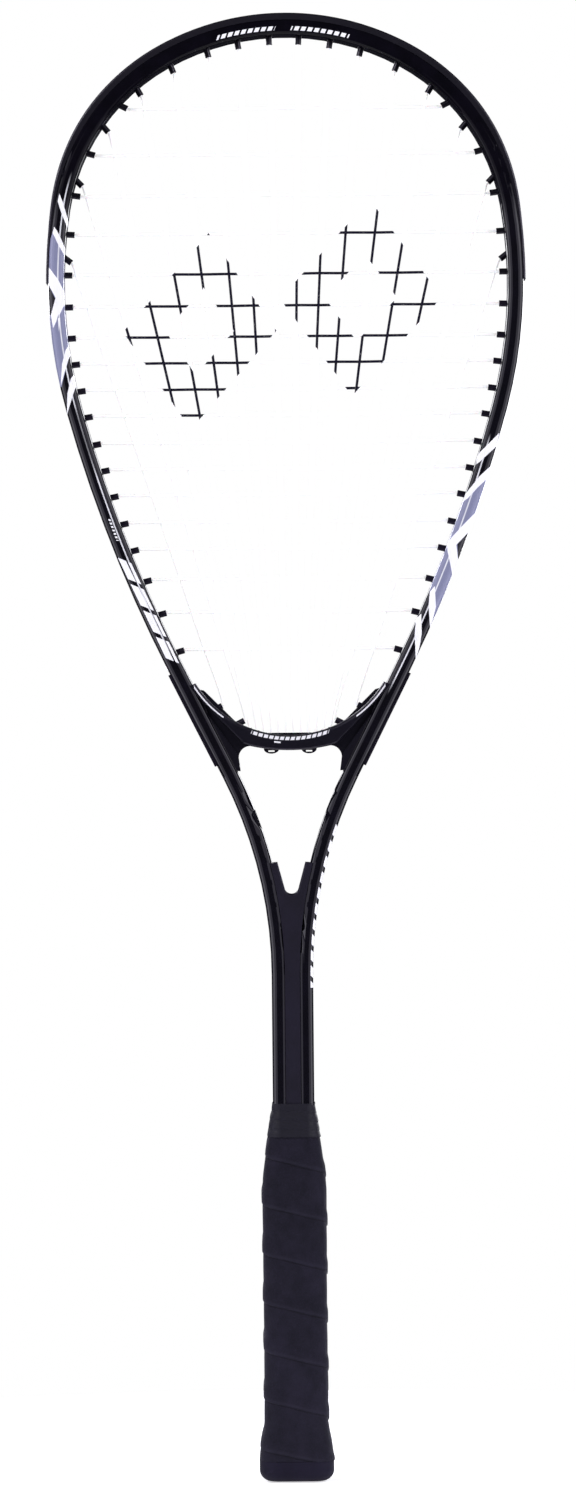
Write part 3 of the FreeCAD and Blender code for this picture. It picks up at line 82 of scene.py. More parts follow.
class Graph:
    """Builds a node material with plain calls. Lengths inside the graph are millimetres."""

    def __init__(self, name):
        self.mat = bpy.data.materials.new(name)
        self.mat.use_nodes = True
        self.tree = self.mat.node_tree
        self.tree.nodes.clear()
        output = self.node("ShaderNodeOutputMaterial")
        self.shader = self.node("ShaderNodeBsdfPrincipled")
        self.put(output.inputs[0], self.shader.outputs[0])
        coordinates = self.node("ShaderNodeTexCoord")
        to_mm = self.node("ShaderNodeVectorMath", operation="SCALE")
        to_mm.inputs["Scale"].default_value = 1000.0
        self.put(to_mm.inputs[0], coordinates.outputs["Object"])
        self.position = to_mm.outputs[0]
        self.axes = None

    def put(self, socket, value):
        """Link the value if it is a socket, else store it."""
        if isinstance(value, bpy.types.NodeSocket):
            self.tree.links.new(value, socket)
        else:
            socket.default_value = value

    def node(self, kind, **settings):
        made = self.tree.nodes.new(kind)
        for key, value in settings.items():
            setattr(made, key, value)
        return made

    def set(self, **values):
        for key, value in values.items():
            self.put(self.shader.inputs[SHADER_INPUTS[key]], value)

    def calc(self, operation, *values):
        made = self.node("ShaderNodeMath", operation=operation)
        for socket, value in zip(made.inputs, values):
            self.put(socket, value)
        return made.outputs[0]

    def add(self, a, b):
        return self.calc("ADD", a, b)

    def sub(self, a, b):
        return self.calc("SUBTRACT", a, b)

    def mul(self, a, b):
        return self.calc("MULTIPLY", a, b)

    def mod(self, a, b):
        return self.calc("MODULO", a, b)

    def abs(self, a):
        return self.calc("ABSOLUTE", a)

    def least(self, a, b):
        return self.calc("MINIMUM", a, b)

    def most(self, a, b):
        return self.calc("MAXIMUM", a, b)

    def less(self, a, b):
        return self.calc("LESS_THAN", a, b)

    def greater(self, a, b):
        return self.calc("GREATER_THAN", a, b)

    def invert(self, a):
        return self.sub(1.0, a)

    def within(self, offset, half):
        """Positive where the offset is smaller than half, either way."""
        return self.sub(half, self.abs(offset))

    def beat(self, value, pitch, half):
        """Positive within half of the middle of each pitch."""
        return self.within(self.sub(self.mod(value, pitch), pitch / 2), half)

    def xyz(self):
        if self.axes is None:
            split = self.node("ShaderNodeSeparateXYZ")
            self.put(split.inputs[0], self.position)
            self.axes = tuple(split.outputs)
        return self.axes

    def remap(self, kind, value, *limits):
        made = self.node("ShaderNodeMapRange", interpolation_type=kind, clamp=True)
        self.put(made.inputs[0], value)
        for k, limit in enumerate(limits):
            made.inputs[k + 1].default_value = limit
        return made.outputs[0]

    def ramp(self, value, low, high):
        """0 at low, 1 at high, smooth between."""
        return self.remap("SMOOTHSTEP", value, low, high, 0.0, 1.0)

    def linear(self, value, low, high, at_low=0.0, at_high=1.0):
        return self.remap("LINEAR", value, low, high, at_low, at_high)

    def mapped(self, scale, turn=(0, 0, 0)):
        made = self.node("ShaderNodeMapping")
        self.put(made.inputs[0], self.position)
        made.inputs["Rotation"].default_value = turn
        made.inputs["Scale"].default_value = scale
        return made.outputs[0]

    def noise(self, size, detail=2.0, rough=0.5, vector=None, distortion=0.0):
        """Noise whose features are about size millimetres across."""
        made = self.node("ShaderNodeTexNoise")
        self.put(made.inputs["Vector"], self.position if vector is None else vector)
        made.inputs["Scale"].default_value = 1.0 / size
        made.inputs["Detail"].default_value = detail
        made.inputs["Roughness"].default_value = rough
        made.inputs["Distortion"].default_value = distortion
        return made.outputs[0]

    def cells(self, size):
        made = self.node("ShaderNodeTexVoronoi")
        self.put(made.inputs["Vector"], self.position)
        made.inputs["Scale"].default_value = 1.0 / size
        return made.outputs["Distance"]

    def mix(self, share, a, b):
        """Colour a where share is 0, colour b where it is 1."""
        made = self.node("ShaderNodeMix", data_type="RGBA", blend_type="MIX")
        for k, value in ((0, share), (6, a), (7, b)):
            self.put(made.inputs[k], value)
        return made.outputs[2]

    def mix_float(self, share, a, b):
        made = self.node("ShaderNodeMix", data_type="FLOAT")
        for k, value in ((0, share), (2, a), (3, b)):
            self.put(made.inputs[k], value)
        return made.outputs[0]

    def bump(self, height, depth, under=None):
        """Relief of the given depth in millimetres, laid over the normal under it."""
        made = self.node("ShaderNodeBump")
        made.inputs["Strength"].default_value = 1.0
        made.inputs["Distance"].default_value = depth * MM
        self.put(made.inputs["Height"], height)
        if under is not None:
            self.put(made.inputs["Normal"], under)
        return made.outputs[0]


def rgb(*display):
    """Display values 0-255 to the linear colour a node takes."""
    def to_linear(value):
        value /= 255.0
        return value / 12.92 if value <= 0.04045 else ((value + 0.055) / 1.055) ** 2.4
    return tuple(to_linear(value) for value in display) + (1.0,)


# ---------------------------------------------------------------- signed distances and ink
# A mark is a field in millimetres, positive inside the mark.

def edge_distance(g, start, end):
    """Distance to the line start-end in the face plane (x, z), positive on its left side."""
    (x0, z0), (x1, z1) = start, end
    length = math.hypot(x1 - x0, z1 - z0)
    normal_x, normal_z = -(z1 - z0) / length, (x1 - x0) / length
    dot = g.node("ShaderNodeVectorMath", operation="DOT_PRODUCT")
    g.put(dot.inputs[0], g.position)
    dot.inputs[1].default_value = (normal_x, 0.0, normal_z)
    return g.sub(dot.outputs["Value"], normal_x * x0 + normal_z * z0)


def area_of(points):
    return sum(a[0] * b[1] - b[0] * a[1] for a, b in zip(points, points[1:] + points[:1])) / 2


def polygon(g, points):
    """Field of a convex polygon in the face plane."""
    if area_of(points) < 0:
        points = points[::-1]
    edges = zip(points, points[1:] + points[:1])
    return reduce(g.least, (edge_distance(g, start, end) for start, end in edges))


def ink(g, field, soft=0.07):
    """0-1 mask of a field, with an edge blurred by soft millimetres each way."""
    return g.ramp(field, -soft, soft)


def union(g, fields):
    return reduce(g.most, fields)


def radius_from(g, x, height):
    return g.calc("SQRT", g.add(g.calc("POWER", x, 2.0), g.calc("POWER", height, 2.0)))


# ---------------------------------------------------------------- printed bands of the tube
# Convex polygons as (x, z) corners in the face plane. Each side of the head has two slanted
# white stripes, a grey panel with a white arrow, and two more stripes.

LEFT_WHITE = [
    [(-105.2, 601.2), (-106.0, 597.7), (-104.3, 592.1), (-102.5, 593.2), (-103.8, 597.7)],
    [(-104.3, 592.1), (-102.5, 593.2), (-100.9, 587.1), (-100.5, 583.6), (-101.6, 585.3)],
    [(-107.8, 585.8), (-108.5, 583.0), (-105.8, 577.1), (-104.2, 579.2), (-106.4, 583.9)],
    [(-105.8, 577.1), (-104.2, 579.2), (-102.0, 573.8), (-101.3, 570.5), (-102.7, 571.8)],
    [(-111.9, 568.8), (-111.9, 561.3), (-110.8, 559.2), (-107.5, 552.4), (-103.1, 554.9),
     (-106.1, 561.1), (-110.0, 566.4)],
    [(-107.5, 552.4), (-103.1, 554.9), (-102.8, 552.5), (-103.3, 549.7), (-105.8, 544.4)],
    [(-107.5, 552.4), (-105.8, 544.4), (-107.3, 541.4), (-108.5, 537.6), (-109.7, 544.6)],
    [(-106.4, 543.2), (-106.0, 536.9), (-105.4, 543.4)],
    [(-99.8, 533.3), (-103.0, 528.2), (-101.9, 523.5), (-100.5, 526.8)],
    [(-103.0, 528.2), (-104.7, 521.9), (-105.4, 511.6), (-101.9, 523.5)],
    [(-96.8, 520.2), (-100.6, 515.1), (-99.1, 509.4), (-96.8, 514.8)],
    [(-100.6, 515.1), (-102.3, 508.0), (-102.7, 498.1), (-99.1, 509.4)],
]
RIGHT_WHITE = [
    [(98.9, 487.9), (97.7, 481.8), (91.5, 476.2), (92.7, 481.7)],
    [(92.7, 481.7), (91.5, 476.2), (89.6, 474.4), (87.9, 473.3), (88.4, 476.1), (89.5, 478.7)],
    [(94.9, 472.6), (93.5, 467.1), (88.3, 462.2), (89.2, 467.5)],
    [(89.2, 467.5), (88.3, 462.2), (84.0, 457.6), (81.2, 455.6), (83.1, 459.8)],
    [(88.2, 451.6), (84.7, 442.4), (78.3, 435.8), (75.9, 439.0), (80.8, 444.3)],
    [(75.9, 439.0), (78.3, 435.8), (74.1, 433.3), (74.3, 436.8)],
    [(74.1, 433.3), (78.3, 435.8), (79.2, 427.7), (76.5, 421.1)],
    [(68.1, 416.7), (65.8, 414.1), (65.1, 407.6), (67.0, 400.8), (68.5, 407.1)],
    [(65.1, 407.6), (65.8, 395.9), (67.0, 400.8)],
    [(61.6, 403.9), (59.2, 401.3), (58.5, 394.1), (60.7, 388.3), (61.8, 395.0)],
    [(58.5, 394.1), (58.9, 382.4), (60.7, 388.3)],
]
PANELS = [
    [(-108.1, 584.4), (-96.7, 562.8), (-96.8, 531.2), (-113.6, 531.4), (-113.5, 569.7)],
    [(-113.6, 531.8), (-99.6, 531.7), (-105.1, 511.2), (-113.7, 511.3)],
    [(95.2, 472.3), (99.3, 465.3), (90.1, 430.8), (70.4, 431.0), (70.3, 445.8), (83.4, 459.8)],
    [(70.4, 433.8), (90.0, 433.6), (66.9, 393.1), (65.1, 407.6), (65.9, 416.0)],
]
INSIDE_ARROWS = [
    [(-112.1, 562.0), (-110.8, 559.2), (-107.5, 552.4), (-109.5, 544.9), (-112.2, 544.4)],
    [(86.9, 444.4), (84.7, 442.4), (78.5, 435.9), (79.0, 427.6), (79.2, 419.6), (88.1, 437.8)],
]

# The middle line of the bent tube, the same on both sides.
HEAD_CENTRE = (0.0, 562.46)     # (x, z) of the centre of the first bend
# (radius, turn in degrees) of each bend from the top of the head down
BENDS = [(115.84, 28.6651), (96.1075, 52.0108), (222.63, 24.6103), (659.455, 11.3199)]


def past_joint(g, across, up, turned):
    """1 beyond the joint that lies at the angle turned round a bend's centre."""
    c, s = math.cos(turned), math.sin(turned)
    return g.greater(g.sub(g.mul(across, c), g.mul(up, s)), 0.0)


def inward(g):
    """Distance from the tube's middle line towards the inside of the head, in the face plane."""
    x, _, z = g.xyz()
    side = g.abs(x)
    centre_x, centre_z = HEAD_CENTRE
    turned = 0.0
    depth = None
    for k, (radius, angle) in enumerate(BENDS):
        across, up = g.sub(side, centre_x), g.sub(z, centre_z)
        reach = g.calc("SQRT", g.add(g.mul(across, across), g.mul(up, up)))
        here = g.sub(radius, reach)
        if depth is None:
            depth = here
        else:
            depth = g.mix_float(past_joint(g, across, up, turned), depth, here)
        turned += math.radians(angle)
        c, s = math.cos(turned), math.sin(turned)
        # the next centre lies on the same spoke; after the last bend this is the tube itself
        next_radius = BENDS[k + 1][0] if k + 1 < len(BENDS) else 0.0
        centre_x += (radius - next_radius) * s
        centre_z += (radius - next_radius) * c
    # the straight leg below the last bend
    across, up = g.sub(side, centre_x), g.sub(z, centre_z)
    straight = g.mul(g.add(g.mul(across, s), g.mul(up, c)), -1.0)
    return g.mix_float(past_joint(g, across, up, turned), depth, straight)


def painted_highlight_line(g):
    """Mask of a painted highlight: a thin white line along the front of each side, just inside the
    middle of the tube, where the gloss would catch a lamp.
    """
    x, y, z = g.xyz()
    mask = g.ramp(g.within(g.sub(inward(g), 0.92), half=0.33), -0.10, 0.14)

    def stretch(on_side, bottom, top):
        """The part of one side that fades in over bottom and out over top, as pairs of z."""
        return g.mul(on_side, g.mul(g.ramp(z, *bottom), g.invert(g.ramp(z, *top))))

    left = stretch(g.less(x, 0.0), bottom=(384.0, 396.0), top=(600.0, 612.0))
    right = stretch(g.greater(x, 0.0), bottom=(366.0, 376.0), top=(480.0, 488.0))
    shown = g.mul(g.add(left, right), g.less(y, -8.0))
    # on the left it is faint except for a stretch round z = 487
    off_stretch = g.less(x, 0.0), g.invert(g.ramp(g.abs(g.sub(z, 487.0)), 8.0, 20.0))
    faded = g.invert(g.mul(0.72, g.mul(*off_stretch)))
    patchy = g.linear(g.noise(size=9.0), 0.36, 0.58, at_low=0.85)
    return g.mul(g.mul(mask, shown), g.mul(faded, patchy))


def side_blocks(g):
    """Four slanted blocks down the left side, each a wide outer and a narrow inner bar."""
    down_x, down_z = 0.4226, -0.9063    # direction down along the tube
    top_x, top_z = -73.6, 424.8         # middle of the top block
    pitch, half_length, slant = 13.6, 5.5, 1.1
    bars = ((-2.6, 0.1), (0.75, 1.85))  # outer and inner edge of each bar, across the tube
    blocks = []
    for k in range(4):
        middle_x = top_x + down_x * k * pitch
        middle_z = top_z + down_z * k * pitch
        for outer, inner in bars:
            corners = []
            for across, end in ((outer, -1), (inner, -1), (inner, 1), (outer, 1)):
                along = end * half_length + across * slant
                corners.append((middle_x + down_x * along - down_z * across,
                                middle_z + down_z * along + down_x * across))
            blocks.append(polygon(g, corners))
    return blocks


def tiny_ticks(g):
    """A run of tiny ticks above the blocks, on the front."""
    x, y, z = g.xyz()
    row = g.within(g.sub(inward(g), -0.25), half=0.5)
    ticks = g.beat(z, pitch=1.6, half=0.42)
    run = g.within(g.sub(z, 444.4), half=5.2)
    field = g.least(g.least(row, ticks), g.least(run, g.sub(-10.0, x)))
    return g.least(field, g.sub(-8.0, y))


def head_dashes(g):
    """Short slanted dashes over the top of the head, just inside the middle line, in two groups."""
    x, _, z = g.xyz()
    ring_radius = 114.95
    height = g.sub(z, HEAD_CENTRE[1])
    radius = radius_from(g, x, height)
    ring = g.within(g.sub(radius, ring_radius), half=0.95)
    slant = g.sub(x, g.mul(g.sub(radius, ring_radius), 0.45))
    dashes = g.beat(g.add(slant, 200.0), pitch=3.1, half=1.05)  # moved to keep it positive
    groups = g.most(g.within(g.add(slant, 17.5), half=13.5),
                    g.within(g.sub(slant, 17.0), half=13.5))
    return g.least(g.least(ring, dashes), g.least(groups, g.sub(height, 60.0)))


def leg_ticks(g):
    """Slanted ticks down the outer front edge of the right leg."""
    x, y, z = g.xyz()
    pitch = 7.3
    geometry = g.node("ShaderNodeNewGeometry")
    facing = g.node("ShaderNodeSeparateXYZ")
    g.put(facing.inputs[0], geometry.outputs["Normal"])
    outward = facing.outputs[0]
    edge = g.least(g.sub(outward, 0.60), g.sub(0.985, outward))
    lean = g.add(g.sub(z, 200.0), g.mul(outward, 3.4))
    ticks = g.beat(lean, pitch, half=2.35)
    # kept clear in the middle of every run of four
    clear = g.sub(g.abs(g.sub(g.mod(lean, 4 * pitch), 2 * pitch)), 1.2)
    run = g.within(g.sub(z, 268.0), half=38.0)
    field = g.least(g.least(ticks, clear), g.least(run, g.sub(x, 2.0)))
    field = g.least(field, g.mul(edge, 6.0))    # the normal's range as rough millimetres
    return g.least(field, g.mul(y, -1.0))


def frame_marks(g):
    """White ink, grey ink and the black left inside the arrows, each as a 0-1 mask."""
    whites = [polygon(g, points) for points in LEFT_WHITE + RIGHT_WHITE]
    whites += side_blocks(g)
    whites += [tiny_ticks(g), head_dashes(g), leg_ticks(g)]
    white = ink(g, union(g, whites))
    panel = ink(g, union(g, [polygon(g, points) for points in PANELS]))
    dark = ink(g, union(g, [polygon(g, points) for points in INSIDE_ARROWS]))
    return white, panel, dark


# ---------------------------------------------------------------- materials of the hard pieces

def frame_paint():
    """Glossy black paint with the printed marks, a painted highlight line down each side and a faint
    painted glow on the white ink.
    """
    g = Graph("frame_paint")
    white, panel, dark = frame_marks(g)
    cloud = g.noise(size=9.0, detail=3.0)
    speck = g.noise(size=0.16, detail=1.0)
    black = g.mix(g.linear(cloud, 0.35, 0.65), rgb(9, 8, 14), rgb(13, 11, 20))
    black = g.mix(g.ramp(speck, 0.68, 0.80), black, rgb(28, 26, 38))
    grey = g.mix(g.linear(speck, 0.3, 0.7), rgb(131, 134, 167), rgb(146, 149, 182))
    chalk = g.mix(g.linear(cloud, 0.3, 0.7), rgb(244, 245, 255), rgb(252, 252, 255))
    colour = g.mix(panel, black, grey)
    colour = g.mix(dark, colour, black)
    # painted highlight: the thin white line down each side stands in for the gloss catching a lamp
    colour = g.mix(painted_highlight_line(g), colour, rgb(240, 241, 250))
    colour = g.mix(white, colour, chalk)
    marks = g.most(white, panel)
    scuff = g.noise(size=2.2, detail=6.0, rough=0.62,
                    vector=g.mapped(scale=(1.0, 1.0, 0.22), turn=(0.2, 0.1, 0.0)))
    rough = g.mix_float(g.ramp(scuff, 0.50, 0.72), 0.34, 0.42)
    rough = g.mix_float(marks, rough, 0.40)
    peel = g.noise(size=2.6, rough=0.4)
    film = g.bump(marks, depth=0.012)   # the ink stands a little proud of the paint
    normal = g.bump(speck, depth=0.001, under=film)
    # the gloss coat thins out over the top of the head
    coat = g.mix_float(g.ramp(g.xyz()[2], 586.0, 602.0), 0.85, 0.22)
    # the white ink's emission is a painted glow that makes it brighter than the lamps light it
    g.set(base=colour, rough=rough, normal=normal, spec=g.mix_float(marks, 0.0, 0.06),
          coat=coat, coat_rough=g.linear(scuff, 0.4, 0.75, 0.022, 0.045),
          coat_normal=g.bump(peel, depth=0.0012), spec_tint=(0.86, 0.84, 1.0, 1.0),
          emit=g.mul(white, 0.14), emit_color=(0.95, 0.96, 1.0, 1.0))
    return g.mat


def moulded(name, base, lift, rough, grain, depth, spec, coat=0.0, marks=None):
    """Moulded plastic: a fine grain, slow clouds from base to lift and faint rub marks.

    grain is the size of the grain and depth its relief. marks(g) gives a mask and its colour.
    """
    g = Graph(name)
    cloud = g.noise(size=14.0, detail=3.0)
    fine = g.noise(size=grain, detail=3.0, rough=0.6)
    rub = g.noise(size=3.0, detail=5.0, rough=0.65,
                  vector=g.mapped(scale=(1.0, 0.35, 1.0), turn=(0.5, 0.2, 0.3)))
    rubbed = tuple(min(1.0, 2.2 * channel + 0.004) for channel in lift[:3]) + (1.0,)
    colour = g.mix(g.linear(cloud, 0.32, 0.68), base, lift)
    colour = g.mix(g.mul(g.ramp(rub, 0.60, 0.78), 0.35), colour, rubbed)
    roughness = g.add(g.linear(fine, 0.3, 0.7, rough - 0.06, rough + 0.07),
                      g.mul(g.ramp(rub, 0.55, 0.8), -0.08))
    if marks is not None:
        mask, tone = marks(g)
        colour = g.mix(mask, colour, tone)
    g.set(base=colour, rough=roughness, spec=spec, coat=coat, coat_rough=0.16,
          normal=g.bump(fine, depth), spec_tint=(0.80, 0.74, 1.0, 1.0))
    return g.mat


def bridge_marks(g):
    """A row of small dashes and a short bar in white print, and two painted highlights: thin white arcs
    along the front of the bridge.
    """
    x, y, z = g.xyz()
    row_radius = 53.15
    height = g.sub(z, 399.4)    # above the centre of the bridge's arc
    radius = radius_from(g, x, height)
    ring = g.within(g.sub(radius, row_radius), half=0.78)
    slant = g.add(x, g.mul(g.sub(radius, row_radius), 0.35))
    dashes = g.beat(g.add(slant, 100.0), pitch=2.5, half=0.92)  # moved to keep it positive
    run = g.within(slant, half=18.1)
    front = g.sub(-8.0, y)
    row = g.least(g.least(ring, dashes), g.least(run, front))
    row = g.least(row, g.mul(height, -1.0))
    bar = g.least(g.within(g.add(x, 6.0), half=1.5), g.within(g.sub(radius, 55.1), half=0.35))
    bar = g.least(bar, g.least(front, g.mul(height, -1.0)))
    # the two arcs at radius 53 are painted highlights on the bar's front edge, drawn in the same white
    # as the print
    ends = g.within(g.sub(g.abs(x), 37.8), half=6.8)
    line = g.within(g.sub(radius, 53.0), half=0.30)
    line = g.least(g.least(line, ends), g.least(g.sub(-5.0, y), g.mul(height, -1.0)))
    return ink(g, g.most(line, g.most(row, bar)), soft=0.09), rgb(242, 242, 250)


def string_material():
    """White twisted string, stencilled with two hollow diamonds."""
    g = Graph("string")
    x, _, z = g.xyz()
    fibre = g.noise(size=0.16, rough=0.6)
    twist = g.node("ShaderNodeTexWave", wave_type="BANDS", bands_direction="DIAGONAL")
    g.put(twist.inputs["Vector"], g.position)
    twist.inputs["Scale"].default_value = 0.62
    twist.inputs["Distortion"].default_value = 0.6
    twist.inputs["Detail"].default_value = 1.0

    def diamond(centre_x, centre_z, half_width, half_height, hole=0.44, lean=0.10):
        """hole is the open share of the size, lean the sideways shift per height."""
        across = g.sub(g.sub(x, centre_x), g.mul(g.sub(z, centre_z), lean))
        up = g.sub(z, centre_z)
        reach = g.add(g.calc("DIVIDE", g.abs(across), half_width),
                      g.calc("DIVIDE", g.abs(up), half_height))
        band = g.least(g.sub(1.0, reach), g.sub(reach, hole))
        return g.mul(band, min(half_width, half_height))

    shape = g.most(diamond(-40.5, 537.0, half_width=36.0, half_height=46.0),
                   diamond(35.0, 552.0, half_width=38.0, half_height=46.0))
    ragged = g.add(shape, g.mul(g.sub(g.noise(size=0.9, detail=3.0), 0.5), 0.9))
    mask = g.ramp(ragged, -0.25, 0.35)
    patchy = g.linear(g.noise(size=0.7, detail=4.0, rough=0.7), 0.26, 0.42, at_low=0.72)
    worn = g.mul(mask, patchy)
    white = g.mix(g.linear(fibre, 0.3, 0.7), rgb(246, 246, 252), rgb(255, 255, 255))
    height = g.add(g.mul(twist.outputs["Fac"], 0.7), g.mul(fibre, 0.3))
    # each pair below is the bare string, then the ink; the bare string's emission is a painted glow
    # that keeps it near white
    g.set(base=g.mix(worn, white, rgb(9, 6, 32)), rough=g.mix_float(worn, 0.34, 0.62),
          spec=g.mix_float(worn, 0.5, 0.12), sub=g.mix_float(worn, 0.12, 0.0), sub_scale=0.0006,
          normal=g.bump(height, depth=0.03), coat=g.mix_float(worn, 0.25, 0.0), coat_rough=0.2,
          emit=g.mix_float(worn, 0.30, 0.0), emit_color=(1.0, 1.0, 1.0, 1.0))
    return g.mat


def metal(name, colour, rough):
    """Brushed metal, streaked darker and rougher."""
    g = Graph(name)
    streak = g.noise(size=0.5, detail=4.0, rough=0.6, vector=g.mapped(scale=(1.0, 8.0, 1.0)))
    darker = tuple(0.7 * channel for channel in colour[:3]) + (1.0,)
    g.set(base=g.mix(g.linear(streak, 0.3, 0.7), colour, darker), metal=1.0,
          rough=g.linear(streak, 0.3, 0.7, rough, rough + 0.15),
          normal=g.bump(streak, depth=0.008))
    return g.mat


def give(material, *pieces):
    """Put the material in every slot of the pieces."""
    for piece in pieces:
        slots = NODES[piece].data.materials
        if len(slots) == 0:
            slots.append(material)
        for k in range(len(slots)):
            slots[k] = material


give(frame_paint(), "frame_tube")
give(moulded("bumper_plastic", rgb(9, 9, 14), rgb(14, 13, 20), rough=0.40, grain=0.45,
             depth=0.006, spec=0.4, coat=0.10), "head_bumper")
give(moulded("grommet_plastic", rgb(18, 14, 26), rgb(25, 20, 36), rough=0.46, grain=0.35,
             depth=0.006, spec=0.35),
     "grommet_strip_left", "grommet_strip_right", "bridge_grommet_strip")
give(moulded("bridge_plastic", rgb(9, 8, 15), rgb(13, 12, 21), rough=0.36, grain=0.5,
             depth=0.004, spec=0.34, coat=0.18, marks=bridge_marks), "throat_bridge")
give(moulded("wedge_plastic", rgb(14, 13, 22), rgb(20, 18, 31), rough=0.55, grain=0.4,
             depth=0.010, spec=0.3), "shaft_wedge")
give(moulded("pallet_plastic", rgb(40, 40, 44), rgb(54, 54, 58), rough=0.55, grain=0.6,
             depth=0.03, spec=0.45), "pallet_front", "pallet_back")
give(moulded("butt_cap_rubber", rgb(17, 15, 27), rgb(24, 22, 36), rough=0.75, grain=0.3,
             depth=0.03, spec=0.15), "butt_cap")
give(metal("rivet_metal", rgb(60, 58, 72), rough=0.32), "bridge_rivets", "wedge_rivet")
give(metal("screw_steel", rgb(165, 165, 172), rough=0.30),
     "pallet_screws", "butt_cap_tacks", "grip_staple")
give(string_material(), "main_strings", "cross_strings", "string_knots")

# ---------------------------------------------------------------- winding a strip round the handle


def rounded(half_width, half_depth, corner, c, s):
    """Reach from the middle to a rounded rectangle along the direction (c, s)."""
    c, s = np.abs(c) + 1e-9, np.abs(s) + 1e-9
    corner_x, corner_y = half_width - corner, half_depth - corner
    along = corner_x * c + corner_y * s
    inside = along ** 2 - corner_x ** 2 - corner_y ** 2 + corner ** 2
    reach = along + np.sqrt(np.maximum(inside, 0.0))
    reach = np.where(half_width / c * s <= corner_y, half_width / c, reach)
    return np.where(half_depth / s * c <= corner_x, half_depth / s, reach)


def section_radius(sections, z, c, s):
    """Reach of the handle's section at z, straight between the listed sections."""
    table = np.array(sections, float)
    width, depth, corner = [np.interp(z, table[:, 0], table[:, k]) for k in (1, 2, 3)]
    return rounded(width / 2, depth / 2, corner, c, s)


def object_of(name, mesh):
    made = bpy.data.objects.new(name, mesh)
    bpy.context.scene.collection.objects.link(made)
    return made


def smooth(mesh):
    mesh.polygons.foreach_set("use_smooth", np.ones(len(mesh.polygons), bool))
    mesh.update()


def wound(name, sections, z_low, z_high, pitch, start, profile, ripple, columns, rows, inner_gap):
    """A strip wound round a handle as one closed mesh.

    Its rows follow the helix, so each overlap edge is a clean line. start is the height of a
    seam at angle 0, rows are the heights above the seam within a turn. profile(height above the
    seam) and ripple(angle, z) give how far the surface stands proud. The inner wall lies
    inner_gap inside the sections.
    """
    angle = np.arange(columns) * (2 * np.pi / columns)
    c, s = np.cos(angle), np.sin(angle)
    first = math.floor((z_low - start) / pitch) - 1
    last = math.ceil((z_high - start) / pitch) + 2
    heights = np.array([start + k * pitch + row for k in range(first, last) for row in rows])
    above_seam = np.array(list(rows) * (last - first))
    z = heights[None, :] - pitch * angle[:, None] / (2 * np.pi)
    radius = section_radius(sections, np.clip(z, z_low, z_high), c[:, None], s[:, None])
    radius = radius + profile(above_seam)[None, :] + ripple(angle[:, None], z)
    x, y = radius * c[:, None], radius * s[:, None]

    bm = bmesh.new()
    grid = [[bm.verts.new((x[i, j] * MM, y[i, j] * MM, z[i, j] * MM))
             for j in range(len(heights))] for i in range(columns)]
    for i in range(columns):
        after = (i + 1) % columns
        # after a full turn a row meets the one a pitch below it
        shift = len(rows) if after == 0 else 0
        for j in range(shift, len(heights) - 1):
            k = j - shift
            bm.faces.new((grid[i][j], grid[after][k], grid[after][k + 1], grid[i][j + 1]))
    for height, up in ((z_low, -1), (z_high, 1)):
        geom = bm.verts[:] + bm.edges[:] + bm.faces[:]
        bmesh.ops.bisect_plane(bm, geom=geom, dist=1e-7, plane_co=(0, 0, height * MM),
                               plane_no=(0, 0, up), clear_outer=True)
    loose = [vert for vert in bm.verts if not vert.link_faces]
    bmesh.ops.delete(bm, geom=loose, context="VERTS")

    def rim(height):
        return [edge for edge in bm.edges if len(edge.link_faces) == 1
                and all(abs(vert.co.z - height * MM) < 2e-6 for vert in edge.verts)]

    rims = [rim(z_low), rim(z_high)]
    inner = []
    for height in [z_low] + [section[0] for section in sections[1:-1]] + [z_high]:
        wall = section_radius(sections, np.full(columns, float(height)), c, s) - inner_gap
        inner.append([bm.verts.new((wall[i] * c[i] * MM, wall[i] * s[i] * MM, height * MM))
                      for i in range(columns)])
    for below, above in zip(inner, inner[1:]):
        for i in range(columns):
            after = (i + 1) % columns
            bm.faces.new((below[i], above[i], above[after], below[after]))
    for edges, ring in zip(rims, (inner[0], inner[-1])):
        for i in range(columns):
            edges.append(bm.edges.get((ring[i], ring[(i + 1) % columns])))
        bmesh.ops.bridge_loops(bm, edges=edges)
    bmesh.ops.recalc_face_normals(bm, faces=bm.faces[:])
    mesh = bpy.data.meshes.new(name)
    bm.to_mesh(mesh)
    bm.free()
    smooth(mesh)
    return object_of(name, mesh)


def waves(table, angle, z):
    """Sum of helical waves: (height, count round the handle, z per radian, phase)."""
    return sum(height * np.sin(count * angle + z / rise + phase)
               for height, count, rise, phase in table)


# ---------------------------------------------------------------- the grip

# (z, width, depth, corner radius) from bottom to top
GRIP_SECTIONS = [
    (9.5, 34.6, 31.0, 9.4), (12.0, 34.3, 30.8, 9.3), (18.2, 32.5, 29.1, 8.9),
    (22.5, 30.8, 27.5, 8.5), (27.0, 29.7, 26.5, 8.2), (60.0, 29.5, 26.3, 8.2),
    (100.0, 29.6, 26.4, 8.2), (136.0, 29.7, 26.5, 8.2), (142.0, 28.9, 26.0, 8.0),
    (150.0, 26.9, 24.9, 7.4), (158.5, 24.5, 23.6, 6.6), (164.0, 22.6, 21.8, 5.4),
    (170.0, 20.9, 20.4, 4.4),
]
GRIP_PITCH = 22.7
GRIP_SEAM = 141.85      # height of a seam at angle 0
GRIP_ROWS = [
    0.0, 0.10, 0.25, 0.5, 0.8, 1.2, 1.7, 2.3, 3.0, 3.7, 4.3, 4.9, 5.5, 6.1, 6.8, 7.6, 8.5, 9.5,
    10.6, 11.8, 13.0, 14.2, 15.4, 16.6, 17.8, 19.0, 20.0, 20.9, 21.6, 22.1, 22.40, 22.58,
]
GRIP_WAVES = [(0.07, 2, 17.0, 0.0), (0.05, 3, -9.0, 1.3), (0.03, 5, 5.1, 0.4)]


